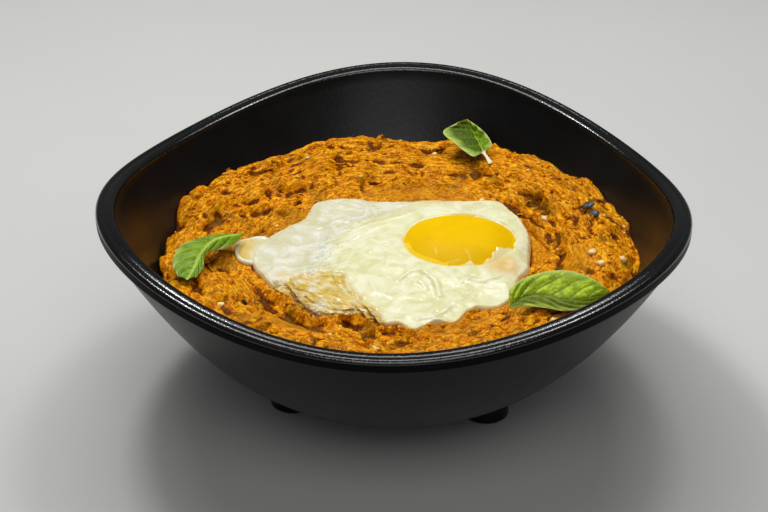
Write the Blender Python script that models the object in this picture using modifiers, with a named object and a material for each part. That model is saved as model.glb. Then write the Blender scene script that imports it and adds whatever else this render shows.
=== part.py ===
"""Mirza ghasemi in a three-cornered bowl, with a fried egg and basil leaves.

Metres, +Z up. The origin is on the ground, in the middle of the bowl's outline, and one of the
bowl's three raised corners points along +Y. The bowl and the food are worked out round the
bowl's own axis, and an empty then moves that axis to its place in the middle of the outline.
"""
import math

import bmesh
import bpy
from mathutils import Vector, noise

# The bowl: a round shell whose rim swells and rises at three corners.
RIM_RADIUS = 0.104
RIM_HEIGHT = 0.0775
CORNERS = 3
CORNER_REACH = 0.0020
CORNER_LIFT = 0.0046
LIP_WIDTH = 0.0066
LIP_DROP = 0.0003
LIP_BAND = 0.0046
LIP_ROUNDING = 0.0015
BAND_STEP = 0.0014
HULL_BOTTOM = 0.003
HULL_POWER = 2.8
FLOOR_TOP = 0.0068
WALL_POWER = 3.0
TURN_STEPS = 96
# Shares of the inner radius at which the wall has a ring of points; the mash uses the covered ones.
COVERED_RINGS = (0.3, 0.5, 0.65, 0.76)
BARE_RINGS = (0.84, 0.91, 1.0)

# The three feet, one under each corner.
FOOT_REACH = 0.0405
FOOT_RADIUS = 0.0085
FOOT_ROUNDING = 0.0008
FOOT_SINK = 0.0016
FOOT_SIDES = 20

# The mash: a ring piled round a well, with spoon marks and lumps.
GAP = 0.0003
WALL_GAP = 0.0008
WELL_CENTRE = (-0.002, -0.005)
WELL_RADIUS = 0.048
WELL_HEIGHT = 0.053
CREST_RADIUS = 0.072
CREST_HEIGHT = 0.0605
SHOULDER_RADIUS = 0.077
SHOULDER_WIDTH = 0.010
EDGE_BLEND = 0.004
CONTACT_HEIGHT = 0.0572
# Where the pile is lower: middle angle and half width in degrees, drop at the wall, drop of the crest.
LOW_STRETCHES = (
    (185, 12, 0.0070, 0.0030), (140, 12, 0.0026, 0.0022), (88, 16, 0.0008, 0.0022), (46, 14, 0.0, -0.0010),
)
LUMP_SIZES = ((0.013, 0.0016), (0.0065, 0.0010))
# Spoon marks: start and end angle in degrees, start and end radius, depth, half width.
SPOON_MARKS = (
    (40, -8, 0.0535, 0.0600, 0.0020, 0.0022),
    (64, 6, 0.0625, 0.0590, 0.0022, 0.0024),
    (30, 2, 0.0665, 0.0670, 0.0012, 0.0022),
    (172, 132, 0.0695, 0.0575, 0.0020, 0.0026),
    (118, 86, 0.0680, 0.0640, 0.0024, 0.0026),
    (100, 60, 0.0585, 0.0600, 0.0014, 0.0030),
    (216, 250, 0.0560, 0.0600, 0.0016, 0.0026),
    (262, 300, 0.0680, 0.0655, 0.0014, 0.0028),
)
MARK_FADE = 8.0

# Pieces that show in the mash: place, and the three half sizes.
GARLIC = (
    (0.0705, -0.0093), (0.0735, -0.0175), (0.0800, -0.0110), (-0.0010, -0.0715), (-0.0100, -0.0630),
    (-0.0542, -0.0521), (0.0100, 0.0725), (-0.0122, 0.0480), (0.0330, 0.0480), (0.0520, -0.0590),
)
GARLIC_SIZE = (0.0025, 0.0019, 0.0017)
SKIN_FLAKES = ((0.0705, 0.0275), (0.0745, 0.0225), (-0.0485, -0.0460))
FLAKE_SIZE = (0.0034, 0.0018, 0.0012)

# The fried egg, measured from the middle of its yolk.
YOLK_CENTRE = (0.0233, 0.0020)
YOLK_RADIUS = 0.0195
YOLK_DOME = 0.0046
YOLK_BEND = 0.03
EGG_STEPS = 60
EGG_SEAT = 0.0005
UNDER_YOLK = 0.0014
COLLAR = 0.0050
THIN_WHITE = 0.0019
THICK_WHITE_REACH = 0.046
EGG_EDGE_ROUNDING = 0.0030
# Reach of the white at each angle in degrees round the yolk.
WHITE_REACH = (
    (0, 0.0258), (36, 0.0282), (67, 0.0345), (105, 0.0362), (133, 0.0440), (146, 0.0590), (158, 0.0625),
    (172, 0.0645), (177, 0.0745), (182, 0.0808), (187, 0.0814), (193, 0.0780), (199, 0.0735),
    (212, 0.0680),
    (226, 0.0668), (237, 0.0562), (250, 0.0560), (259, 0.0590), (268, 0.0520), (279, 0.0425),
    (294, 0.0440), (312, 0.0345), (335, 0.0280),
)

# Basil leaves: three lines from stem to tip, in millimetres: the midrib, and the edges on its far
# and near side.
MM = 0.001
LEAF_THICKNESS = 0.0008
LEAF_LENGTHWISE = 14
LEAF_CROSSWISE = 6
LEAF_CLEARANCE = (0.009, 0.006)
LEAVES = {
    "basil_leaf_right": {
        "far": ((42.4, -44.7, 61.5), (42.2, -41.6, 65.1), (48.4, -35.5, 66.9),
                (59.2, -31.1, 67.2), (68.4, -33.0, 66.4), (75.5, -38.4, 64.6)),
        "rib": ((42.4, -46.3, 60.9), (45.7, -43.6, 62.6), (52.3, -41.7, 63.6),
                (60.7, -44.8, 64.0), (68.3, -43.1, 64.2), (75.7, -38.5, 64.2)),
        "near": ((42.8, -47.4, 60.7), (46.1, -46.7, 61.4), (52.8, -46.7, 61.6),
                 (61.1, -48.4, 61.7), (68.1, -45.7, 62.2), (75.3, -39.0, 63.8)),
    },
    "basil_leaf_left": {
        "far": ((-71.6, -38.8, 61.5), (-75.1, -30.3, 62.5), (-74.3, -19.4, 62.8),
                (-69.2, -12.9, 62.2), (-61.9, -5.9, 60.2), (-55.3, 0.6, 57.8)),
        "rib": ((-68.1, -40.7, 61.6), (-66.5, -33.7, 63.4), (-65.7, -25.7, 63.8),
                (-63.8, -15.2, 62.8), (-59.8, -7.1, 60.6), (-55.1, 0.2, 57.6)),
        "near": ((-65.2, -37.9, 61.4), (-64.0, -31.8, 62.0), (-64.9, -23.2, 62.2),
                 (-62.0, -17.8, 60.8), (-57.2, -10.5, 58.8), (-55.4, -0.3, 57.3)),
    },
    "basil_leaf_back": {
        "far": ((33.3, 57.2, 62.3), (30.2, 63.7, 63.4), (32.6, 66.4, 64.8),
                (30.8, 71.8, 66.2), (27.0, 77.2, 67.4), (22.0, 84.3, 67.4)),
        "rib": ((32.5, 56.4, 62.2), (29.6, 63.2, 63.2), (27.6, 70.9, 63.2),
                (25.5, 77.3, 63.9), (23.5, 82.1, 65.2), (21.4, 84.2, 67.2)),
        "near": ((31.8, 56.0, 62.1), (29.0, 62.6, 63.1), (25.3, 60.5, 62.9),
                 (18.5, 66.5, 64.8), (13.0, 74.5, 66.0), (18.3, 80.6, 67.4)),
    },
}

# Surface colour (linear RGB), roughness and metallic value of each material.
MATERIALS = {
    "black_melamine": ((0.012, 0.013, 0.013), 0.32),
    "aubergine_mash": ((0.48, 0.17, 0.018), 0.45),
    "egg_white": ((0.84, 0.82, 0.66), 0.25),
    "egg_yolk": ((0.90, 0.56, 0.006), 0.18),
    "basil": ((0.13, 0.30, 0.02), 0.40),
}

COLLECTION = "mirza_ghasemi"


# ---- small helpers ----------------------------------------------------------------------------

def smooth(value):
    """Ease from 0 to 1 as value goes from 0 to 1."""
    value = min(1.0, max(0.0, value))
    return value * value * (3.0 - 2.0 * value)


def blend(low, high, share):
    return low + (high - low) * share


def corner_wave(angle):
    """+1 at each corner of the bowl, -1 in the middle of each side."""
    return math.cos(CORNERS * (angle - math.pi / 2.0))


def material(name):
    found = bpy.data.materials.get(name)
    if found:
        return found
    colour, roughness = MATERIALS[name]
    made = bpy.data.materials.new(name)
    made.use_nodes = True
    shader = made.node_tree.nodes["Principled BSDF"]
    shader.inputs["Base Color"].default_value = (*colour, 1.0)
    shader.inputs["Roughness"].default_value = roughness
    shader.inputs["Metallic"].default_value = 0.0
    made.diffuse_color = (*colour, 1.0)
    return made


def add_object(name, mesh, collection):
    made = bpy.data.objects.new(name, mesh)
    collection.objects.link(made)
    return made


def baked_mesh(source):
    """The mesh that source's modifiers give; source itself is removed."""
    graph = bpy.context.evaluated_depsgraph_get()
    mesh = bpy.data.meshes.new_from_object(source.evaluated_get(graph))
    bpy.data.objects.remove(source)
    return mesh


def turned(profile, steps, collection):
    """Turn a profile of (radius, height) points, top centre to bottom centre, round Z."""
    mesh = bpy.data.meshes.new("profile")
    points = [(radius, 0.0, height) for radius, height in profile]
    edges = [(i, i + 1) for i in range(len(points) - 1)]
    mesh.from_pydata(points, edges, [])
    lathe = add_object("lathe", mesh, collection)
    screw = lathe.modifiers.new("Turn", "SCREW")
    screw.steps = steps
    screw.render_steps = steps
    screw.use_merge_vertices = True
    screw.merge_threshold = 0.00002
    return baked_mesh(lathe)


def reshape(mesh, move):
    """Put every vertex where move(x, y, z) says."""
    for vertex in mesh.vertices:
        vertex.co = move(*vertex.co)
    mesh.update()


def finished(name, mesh, material_name, collection, parent):
    made = add_object(name, mesh, collection)
    made.data.name = name
    made.data.materials.clear()
    made.data.materials.append(material(material_name))
    made.data.shade_smooth()
    made.data.set_sharp_from_angle(angle=math.radians(40))
    made.parent = parent
    return made


def united(base, pieces, solver):
    """Join the pieces of a collection to base with one Boolean, and remove them."""
    join = base.modifiers.new("Join", "BOOLEAN")
    join.operation = "UNION"
    join.operand_type = "COLLECTION"
    join.collection = pieces
    join.solver = solver
    mesh = baked_mesh(base)
    for piece in list(pieces.objects):
        bpy.data.objects.remove(piece)
    return mesh


# ---- the bowl ---------------------------------------------------------------------------------

def hull_height(radius):
    """Height of the outside of the bowl, on its mean outline."""
    span = RIM_HEIGHT - LIP_BAND - HULL_BOTTOM
    return HULL_BOTTOM + span * (radius / (RIM_RADIUS - BAND_STEP)) ** HULL_POWER


def wall_height(radius):
    """Height of the inside of the bowl, on its mean outline."""
    span = RIM_HEIGHT - LIP_DROP - LIP_ROUNDING - FLOOR_TOP
    return FLOOR_TOP + span * (radius / (RIM_RADIUS - LIP_WIDTH)) ** WALL_POWER


def wall_radius(height):
    """Radius of the inside of the bowl at a height, on its mean outline."""
    span = RIM_HEIGHT - LIP_DROP - LIP_ROUNDING - FLOOR_TOP
    return (RIM_RADIUS - LIP_WIDTH) * ((height - FLOOR_TOP) / span) ** (1.0 / WALL_POWER)


def cornered(x, y, z):
    """Push a round bowl's point out and up at the corners, in and down between them."""
    wave = corner_wave(math.atan2(y, x))
    grown = 1.0 + wave * CORNER_REACH / RIM_RADIUS
    share = max(0.0, z - HULL_BOTTOM) / (RIM_HEIGHT - HULL_BOTTOM)
    return Vector((x * grown, y * grown, z + wave * CORNER_LIFT * share))


def arc(centre, radius, start, end, count):
    """Points on an arc of the profile, with angles in degrees."""
    angles = [math.radians(blend(start, end, i / (count - 1))) for i in range(count)]
    return [(centre[0] + radius * math.cos(a), centre[1] + radius * math.sin(a)) for a in angles]


def bowl_profile():
    inner = RIM_RADIUS - LIP_WIDTH
    hull = RIM_RADIUS - BAND_STEP
    shares = (0.0, *COVERED_RINGS, *BARE_RINGS)
    inside = [(inner * share, wall_height(inner * share)) for share in shares]
    inner_edge = (inner + LIP_ROUNDING, RIM_HEIGHT - LIP_DROP - LIP_ROUNDING)
    outer_edge = (RIM_RADIUS - LIP_ROUNDING, RIM_HEIGHT - LIP_ROUNDING)
    band_end = RIM_HEIGHT - LIP_BAND
    lip = arc(inner_edge, LIP_ROUNDING, 150, 90, 2) + arc(outer_edge, LIP_ROUNDING, 80, 0, 3)
    band = [(RIM_RADIUS, band_end + BAND_STEP * 0.5), (hull, band_end)]
    shares = (0.97, 0.91, 0.82, 0.7, 0.56, 0.4, 0.2, 0.0)
    outside = [(hull * share, hull_height(hull * share)) for share in shares]
    return inside + lip + band + outside


def bowl_foot(angle, collection):
    """A short round foot whose top follows the hull and sinks a little into it."""
    shape = bmesh.new()
    bmesh.ops.create_cone(shape, cap_ends=True, segments=FOOT_SIDES, radius1=FOOT_RADIUS,
                          radius2=FOOT_RADIUS * 1.06, depth=0.010)
    sole = [edge for edge in shape.edges if all(v.co.z < 0.0 for v in edge.verts)]
    bmesh.ops.bevel(shape, geom=sole, offset=FOOT_ROUNDING, segments=1, affect="EDGES")
    out = Vector((math.cos(angle), math.sin(angle), 0.0)) * FOOT_REACH
    for vertex in shape.verts:
        on_top = vertex.co.z > 0.0
        vertex.co += out
        if on_top:
            vertex.co.z = hull_height(math.hypot(vertex.co.x, vertex.co.y)) + FOOT_SINK
        else:
            vertex.co.z += 0.005
    mesh = bpy.data.meshes.new("foot")
    shape.to_mesh(mesh)
    shape.free()
    return add_object("foot", mesh, collection)


def build_bowl(collection, pieces, parent):
    mesh = turned(bowl_profile(), TURN_STEPS, collection)
    reshape(mesh, cornered)
    for corner in range(CORNERS):
        bowl_foot(math.pi / 2.0 + corner * 2.0 * math.pi / CORNERS, pieces)
    shell = add_object("shell", mesh, collection)
    joined = united(shell, pieces, "EXACT")
    return finished("bowl", joined, "black_melamine", collection, parent)


# ---- the egg's outline ------------------------------------------------------------------------

def white_reach(angle):
    """Reach of the egg white from the middle of the yolk, on a smooth closed curve."""
    turn = math.degrees(angle) % 360.0
    count = len(WHITE_REACH)
    after = next((i for i in range(count) if WHITE_REACH[i][0] > turn), count)
    knots = []
    for i in range(after - 2, after + 2):
        degrees, reach = WHITE_REACH[i % count]
        knots.append((degrees + 360.0 * (i // count), reach))
    (a0, r0), (a1, r1), (a2, r2), (a3, r3) = knots
    share = (turn - a1) / (a2 - a1)
    slope1 = (r2 - r0) / (a2 - a0) * (a2 - a1)
    slope2 = (r3 - r1) / (a3 - a1) * (a2 - a1)
    cubic = 2.0 * r1 - 2.0 * r2 + slope1 + slope2
    square = -3.0 * r1 + 3.0 * r2 - 2.0 * slope1 - slope2
    return ((cubic * share + square) * share + slope1) * share + r1


def from_yolk(x, y):
    """Distance and angle of a place, measured from the middle of the yolk."""
    across = x - YOLK_CENTRE[0]
    along = y - YOLK_CENTRE[1]
    return math.hypot(across, along), math.atan2(along, across)


# ---- the mash ---------------------------------------------------------------------------------

def lowered(angle, which):
    """How far the pile is lower at this angle: which is 2 at the wall and 3 at the crest."""
    total = 0.0
    for stretch in LOW_STRETCHES:
        away = abs((math.degrees(angle) - stretch[0] + 180.0) % 360.0 - 180.0)
        total += stretch[which] * smooth(2.0 - away / stretch[1])
    return total


def contact_height(angle):
    """Height at which the mash meets the wall."""
    return CONTACT_HEIGHT - lowered(angle, 2)


def contact_edge(angle):
    """The place where the mash meets the wall, on the mean outline raised or lowered to suit."""
    lift = corner_wave(angle) * CORNER_LIFT / (RIM_HEIGHT - HULL_BOTTOM)
    mean_height = (contact_height(angle) + lift * HULL_BOTTOM) / (1.0 + lift)
    radius = wall_radius(mean_height) - WALL_GAP
    return cornered(radius * math.cos(angle), radius * math.sin(angle), mean_height)


def bed_height(x, y):
    """The mash without its relief: a flat well, a wide crest and a shoulder at the wall."""
    from_well = math.hypot(x - WELL_CENTRE[0], y - WELL_CENTRE[1])
    climb = smooth((from_well - WELL_RADIUS) / (CREST_RADIUS - WELL_RADIUS))
    drop = max(0.0, math.hypot(x, y) - SHOULDER_RADIUS) / SHOULDER_WIDTH
    angle = math.atan2(y, x)
    crest = CREST_HEIGHT - lowered(angle, 3)
    height = blend(WELL_HEIGHT, crest, climb)
    return height - (crest - contact_height(angle)) * min(1.0, drop) ** 2


def spoon_mark_depth(x, y):
    """How deep the spoon has drawn the mash down here."""
    radius = math.hypot(x, y)
    deepest = 0.0
    for start, end, start_radius, end_radius, depth, half_width in SPOON_MARKS:
        middle = (start + end) / 2.0
        turn = (math.degrees(math.atan2(y, x)) - middle + 180.0) % 360.0 - 180.0 + middle
        share = (turn - start) / (end - start)
        line = blend(start_radius, end_radius, min(1.0, max(0.0, share)))
        beyond = max(0.0, min(start, end) - turn, turn - max(start, end))
        across = math.exp(-((radius - line) / half_width) ** 2)
        deepest = max(deepest, depth * across * smooth(1.0 - beyond / MARK_FADE))
    return deepest


def relief_share(x, y):
    """0 where the egg or a leaf lies on the mash, 1 where the mash is bare."""
    distance, angle = from_yolk(x, y)
    share = smooth((distance - white_reach(angle) - 0.001) / 0.005)
    clear, blur = LEAF_CLEARANCE
    for leaf in LEAVES.values():
        near = min(math.hypot(x - line_x * MM, y - line_y * MM) for line_x, line_y, _ in leaf["rib"])
        share = min(share, smooth((near - clear) / blur))
    return share


def mash_height(x, y):
    """Height of the mash's surface."""
    lumps = 0.0
    for size, height in LUMP_SIZES:
        lumps += height * noise.noise(Vector((x / size, y / size, size * 1000.0)))
    relief = lumps - spoon_mark_depth(x, y)
    return bed_height(x, y) + relief * relief_share(x, y)


def mash_profile():
    """Rings in shares: out to the wall over the top (height 1), then down the wall (height 0)."""
    top = [0.0, 0.16, 0.32, 0.44, 0.52]
    top += [blend(0.56, 0.97, i / 12.0) for i in range(13)] + [1.0]
    side = [(share, 0.0) for share in reversed(COVERED_RINGS)]
    return [(share, 1.0) for share in top] + side + [(0.0, 0.0)]


def mash_point(x, y, z):
    """Lay a turned point on the relief, or against the wall."""
    share = math.hypot(x, y)
    angle = math.atan2(y, x)
    if z < 0.5:
        radius = (RIM_RADIUS - LIP_WIDTH) * share
        height = wall_height(radius) + GAP
        radius = max(0.0, radius - WALL_GAP)
        return cornered(radius * math.cos(angle), radius * math.sin(angle), height)
    edge = contact_edge(angle)
    place_x, place_y = edge.x * share, edge.y * share
    inward = smooth((1.0 - share) * math.hypot(edge.x, edge.y) / EDGE_BLEND)
    return Vector((place_x, place_y, blend(edge.z, mash_height(place_x, place_y), inward)))


def lump(place, sizes, collection):
    """A small piece half sunk in the mash, turned by its place."""
    shape = bmesh.new()
    bmesh.ops.create_icosphere(shape, subdivisions=1, radius=1.0)
    x, y = place
    turn = 40.0 * (x + 2.0 * y) / RIM_RADIUS
    for vertex in shape.verts:
        along = vertex.co.x * sizes[0]
        across = vertex.co.y * sizes[1]
        rise = vertex.co.z * sizes[2] + sizes[2] * 0.25
        place_x = x + along * math.cos(turn) - across * math.sin(turn)
        place_y = y + along * math.sin(turn) + across * math.cos(turn)
        vertex.co = (place_x, place_y, mash_height(x, y) + rise)
    mesh = bpy.data.meshes.new("lump")
    shape.to_mesh(mesh)
    shape.free()
    return add_object("lump", mesh, collection)


def build_mash(collection, pieces, parent):
    mesh = turned(mash_profile(), TURN_STEPS, collection)
    reshape(mesh, mash_point)
    for place in GARLIC:
        lump(place, GARLIC_SIZE, pieces)
    for place in SKIN_FLAKES:
        lump(place, FLAKE_SIZE, pieces)
    core = add_object("core", mesh, collection)
    joined = united(core, pieces, "EXACT")
    return finished("mash", joined, "aubergine_mash", collection, parent)


# ---- the fried egg ----------------------------------------------------------------------------
# White and yolk are turned in shares: 0 to 1 over the yolk, 1 to 2 over the white round it.
# The profile's height is +1 on the upper skin and -1 on the underside.

def yolk_reach(angle):
    return YOLK_RADIUS * (1.0 + YOLK_BEND * math.cos(2.0 * angle) + YOLK_BEND * math.sin(3.0 * angle) / 2.0)


def egg_place(share, angle):
    """Where a share and an angle lie over the mash."""
    reach = yolk_reach(angle)
    if share <= 1.0:
        distance = share * reach
    else:
        distance = blend(reach, white_reach(angle), share - 1.0)
    return (YOLK_CENTRE[0] + distance * math.cos(angle), YOLK_CENTRE[1] + distance * math.sin(angle))


def white_thickness(share, angle):
    """Thick next to the yolk, thin further out, rounded off at the edge."""
    yolk_edge = yolk_reach(angle)
    edge = white_reach(angle)
    distance = blend(yolk_edge, edge, share - 1.0)
    near = 1.0 - smooth((distance - yolk_edge) / (THICK_WHITE_REACH - yolk_edge))
    body = blend(THIN_WHITE, COLLAR, min(near, 1.0 - (share - 1.0) ** 2))
    left = min(1.0, max(0.0, (edge - distance) / EGG_EDGE_ROUNDING))
    return max(0.0004, body * math.sqrt(1.0 - (1.0 - left) ** 2))


def pit_height(share):
    """Height of the hollow that the yolk sits in, over the white's underside."""
    return blend(UNDER_YOLK, COLLAR, share ** 2)


def white_point(x, y, z):
    share = math.hypot(x, y)
    angle = math.atan2(y, x)
    place_x, place_y = egg_place(share, angle)
    under = bed_height(place_x, place_y) + EGG_SEAT
    if z < 0.0:
        return Vector((place_x, place_y, under))
    if share <= 1.0:
        return Vector((place_x, place_y, under + pit_height(share)))
    return Vector((place_x, place_y, under + white_thickness(share, angle)))


def yolk_point(x, y, z):
    share = math.hypot(x, y)
    place_x, place_y = egg_place(share, math.atan2(y, x))
    under = bed_height(place_x, place_y) + EGG_SEAT + GAP
    if z < 0.0:
        return Vector((place_x, place_y, under + pit_height(share)))
    dome = YOLK_DOME * math.sqrt(max(0.0, 1.0 - share ** 2)) + GAP
    return Vector((place_x, place_y, under + COLLAR + dome))


def build_egg(collection, parent):
    pit = [(share, 1.0) for share in (0.0, 0.4, 0.7, 0.88, 1.0)]
    top = [(share, 1.0) for share in (1.12, 1.3, 1.5, 1.68, 1.83, 1.94, 2.0)]
    under = [(share, -1.0) for share in (1.95, 1.75, 1.5, 1.25, 1.0, 0.6, 0.0)]
    white = turned(pit + top + under, EGG_STEPS, collection)
    reshape(white, white_point)
    made_white = finished("egg_white", white, "egg_white", collection, parent)

    shares = (0.0, 0.4, 0.7, 0.88, 1.0)
    dome = [(share, 1.0) for share in (0.0, 0.35, 0.6, 0.8, 0.93, 1.0)]
    cup = [(share, -1.0) for share in reversed(shares)]
    yolk = turned(dome + cup, EGG_STEPS, collection)
    reshape(yolk, yolk_point)
    made_yolk = finished("egg_yolk", yolk, "egg_yolk", collection, parent)
    return made_white, made_yolk


# ---- the basil leaves -------------------------------------------------------------------------

def along_line(knots, share):
    """A place on the smooth curve through the knots of a line."""
    points = [Vector(knot) * MM for knot in knots]
    points = [2.0 * points[0] - points[1], *points, 2.0 * points[-1] - points[-2]]
    when = share * (len(points) - 3)
    first = min(int(when), len(points) - 4)
    part = when - first
    a, b, c, d = points[first:first + 4]
    cubic = 3.0 * b - a - 3.0 * c + d
    square = 2.0 * a - 5.0 * b + 4.0 * c - d
    return 0.5 * (((cubic * part + square) * part + (c - a)) * part + 2.0 * b)


def leaf_point(leaf, share, across):
    """A place on the leaf: share runs from stem to tip, across from -1 (near edge) to 1 (far edge)."""
    rib = along_line(leaf["rib"], share)
    edge = along_line(leaf["far" if across > 0.0 else "near"], share)
    return rib + (edge - rib) * abs(across)


def build_leaf(name, collection, parent):
    """A flat grid stretched between the leaf's lines, split into triangles, then given its thickness."""
    shape = bmesh.new()
    bmesh.ops.create_grid(shape, x_segments=LEAF_LENGTHWISE, y_segments=LEAF_CROSSWISE, size=1.0)
    for vertex in shape.verts:
        vertex.co = leaf_point(LEAVES[name], (vertex.co.x + 1.0) / 2.0, vertex.co.y)
    bmesh.ops.triangulate(shape, faces=shape.faces)
    mesh = bpy.data.meshes.new(name)
    shape.to_mesh(mesh)
    shape.free()
    made = finished(name, mesh, "basil", collection, parent)
    thicken = made.modifiers.new("Thickness", "SOLIDIFY")
    thicken.thickness = LEAF_THICKNESS
    thicken.offset = 0.0
    return made


# ---- everything -------------------------------------------------------------------------------

def main():
    for old in list(bpy.data.objects):
        bpy.data.objects.remove(old)
    parts = bpy.data.collections.new(COLLECTION)
    pieces = bpy.data.collections.new("pieces_to_join")
    for made in (parts, pieces):
        bpy.context.scene.collection.children.link(made)
    axis = bpy.data.objects.new("bowl_axis", None)
    parts.objects.link(axis)
    axis.location.y = -CORNER_REACH
    build_bowl(parts, pieces, axis)
    build_mash(parts, pieces, axis)
    build_egg(parts, axis)
    for name in LEAVES:
        build_leaf(name, parts, axis)
    bpy.data.collections.remove(pieces)
    bpy.context.view_layer.update()


main()
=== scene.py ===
# %% [markdown]
# # Mirza ghasemi in its bowl
# A serving of smoky aubergine mash under a fried egg, in a black moulded bowl. The solids are made
# already and arrive as a fixed frame. This lesson dresses them: every piece gets its own fine mesh
# and a finish worked out from what the real thing is made of. All places are metres, +Z up.

# %% Load the frame
import math

import bmesh
import bpy
import numpy as np
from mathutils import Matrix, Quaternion, Vector, noise


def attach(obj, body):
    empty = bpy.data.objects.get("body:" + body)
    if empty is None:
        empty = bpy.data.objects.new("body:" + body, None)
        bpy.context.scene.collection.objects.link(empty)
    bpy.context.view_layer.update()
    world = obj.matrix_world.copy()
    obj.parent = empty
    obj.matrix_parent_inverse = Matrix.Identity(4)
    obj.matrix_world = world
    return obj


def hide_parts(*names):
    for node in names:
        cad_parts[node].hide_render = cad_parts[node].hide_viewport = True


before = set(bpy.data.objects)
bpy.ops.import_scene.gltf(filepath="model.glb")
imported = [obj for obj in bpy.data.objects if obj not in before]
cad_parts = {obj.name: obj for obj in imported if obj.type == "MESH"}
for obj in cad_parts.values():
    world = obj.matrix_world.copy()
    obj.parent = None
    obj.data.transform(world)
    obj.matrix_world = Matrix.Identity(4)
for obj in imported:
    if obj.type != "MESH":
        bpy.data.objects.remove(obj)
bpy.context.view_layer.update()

print("nodes:", sorted(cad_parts))

# %% [markdown]
# ## Helpers
# A finish is easier to trust when its colour is read as a painter reads it, so colours are sRGB hex
# values and one function turns them to the linear numbers that Blender works with. A pattern's scale
# is easier to trust when it comes from a real size, so another function turns millimetres into
# texture scale. The last one adds any shader node, with its settings and its links.

# %% Colour, scale and node helpers
MM = 0.001


def linear(hex_colour):
    """Linear RGBA from an sRGB hex colour."""
    shares = [int(hex_colour[i:i + 2], 16) / 255.0 for i in (1, 3, 5)]
    bent = [s / 12.92 if s <= 0.04045 else ((s + 0.055) / 1.055) ** 2.4 for s in shares]
    return (*bent, 1.0)


def per_mm(size):
    """Texture scale at which one repeat is this many millimetres."""
    return 1.0 / (size * MM)


def node(material, kind, inputs=None, stops=None, **settings):
    """Add a shader node. A socket given as an input is linked, and stops are a ramp's colours."""
    made = material.node_tree.nodes.new("ShaderNode" + kind)
    for name, value in settings.items():
        setattr(made, name, value)
    for name, value in (inputs or {}).items():
        if isinstance(value, bpy.types.NodeSocket):
            material.node_tree.links.new(value, made.inputs[name])
        else:
            made.inputs[name].default_value = value
    for place, colour in (stops or [])[2:]:
        made.color_ramp.elements.new(place)
    for i, (place, colour) in enumerate(stops or []):
        made.color_ramp.elements[i].position = place
        made.color_ramp.elements[i].color = linear(colour)
    return made


def new_material(name):
    """A material with nodes, and its Principled shader."""
    material = bpy.data.materials.new(name)
    material.use_nodes = True
    return material, material.node_tree.nodes["Principled BSDF"]


def finish_shader(material, shader, values, **links):
    """Set the shader's plain values, and link what varies over the surface."""
    for name, value in values.items():
        shader.inputs[name].default_value = value
    for name, socket in links.items():
        material.node_tree.links.new(socket, shader.inputs[name.replace("_", " ")])


print("one repeat a millimetre is a texture scale of", per_mm(1.0))

# %% [markdown]
# Meshes here are worked out with numpy and handed to Blender in one go. Most of this food is laid
# out in rings round a middle, so one function turns rings into a closed skin, with a single vertex
# where a skin begins and ends. Each vertex can carry named numbers, such as how deep it lies in a
# crease, and a material reads them by that name.

# %% Mesh helpers
def ring_faces(rows, columns):
    """Quads between rings that run outwards, with their front to the sky."""
    across = np.arange(columns)
    after = (across + 1) % columns
    down = np.arange(rows - 1)[:, None] * columns
    corners = (down + across, down + columns + across, down + columns + after, down + after)
    return np.stack(corners, axis=-1).reshape(-1, 4).tolist()


def closed_skin(rings):
    """Points and faces of rings that start and end in a pole: an array of rows, columns and xyz."""
    rows, columns = rings.shape[:2]
    inner = rings[1:-1].reshape(-1, 3)
    points = np.vstack([inner, rings[0].mean(axis=0), rings[-1].mean(axis=0)])
    faces = ring_faces(rows - 2, columns)
    start, end, last = len(inner), len(inner) + 1, (rows - 3) * columns
    for i in range(columns):
        after = (i + 1) % columns
        faces.append((start, i, after))
        faces.append((end, last + after, last + i))
    return points, faces


def skin_numbers(values):
    """The same rings' numbers, in the order that closed_skin gives the points."""
    return np.concatenate([values[1:-1].ravel(), [values[0].mean(), values[-1].mean()]])


def joined(shapes):
    """Points and faces of several meshes as one."""
    firsts = np.cumsum([0] + [len(points) for points, faces in shapes]).tolist()
    faces = []
    for first, (points, shape_faces) in zip(firsts, shapes):
        faces += [[i + first for i in face] for face in shape_faces]
    return np.vstack([points for points, shape_faces in shapes]), faces


def add_piece(name, points, faces, material, slot, numbers=None):
    """Make a smooth-shaded mesh object that rides on the part's only body."""
    mesh = bpy.data.meshes.new(name)
    mesh.from_pydata(np.asarray(points).tolist(), [], faces)
    shape = bmesh.new()
    shape.from_mesh(mesh)
    bmesh.ops.recalc_face_normals(shape, faces=shape.faces)
    shape.to_mesh(mesh)
    shape.free()
    mesh.shade_smooth()
    mesh.materials.append(material)
    for key, values in (numbers or {}).items():
        layer = mesh.attributes.new(key, "FLOAT", "POINT")
        layer.data.foreach_set("value", np.asarray(values, np.float32).ravel())
    made = bpy.data.objects.new(name, mesh)
    bpy.context.scene.collection.objects.link(made)
    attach(made, "root")
    print(name, "has", sum(len(face) - 2 for face in faces), "triangles")
    return made


print("a skin of 4 rings of 5 has", len(closed_skin(np.zeros((4, 5, 3)))[1]), "faces")

# %% [markdown]
# No part of cooked food is even, so much of its shape is noise of a known size. Plain noise has soft
# bumps. Folded at zero it makes grains with sharp creases between them, and drawn out round the bowl
# it makes the streaks that a spoon leaves. A voronoi pattern, in which every place belongs to the
# nearest of many scattered centres, makes the slabs in which a paste tears. Each layer number picks
# a pattern of its own.

# %% Noise and easing
SLAB_CIRCLE = 40.0 * MM
STREAK_CIRCLE = 65.0 * MM


def smooth(value):
    """Ease from 0 to 1 as value goes from 0 to 1."""
    value = np.clip(value, 0.0, 1.0)
    return value * value * (3.0 - 2.0 * value)


def bell(value, middle, half_width):
    """1 at the middle, falling smoothly to 0 at some twice the half width."""
    return np.exp(-((value - middle) / half_width) ** 2)


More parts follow.
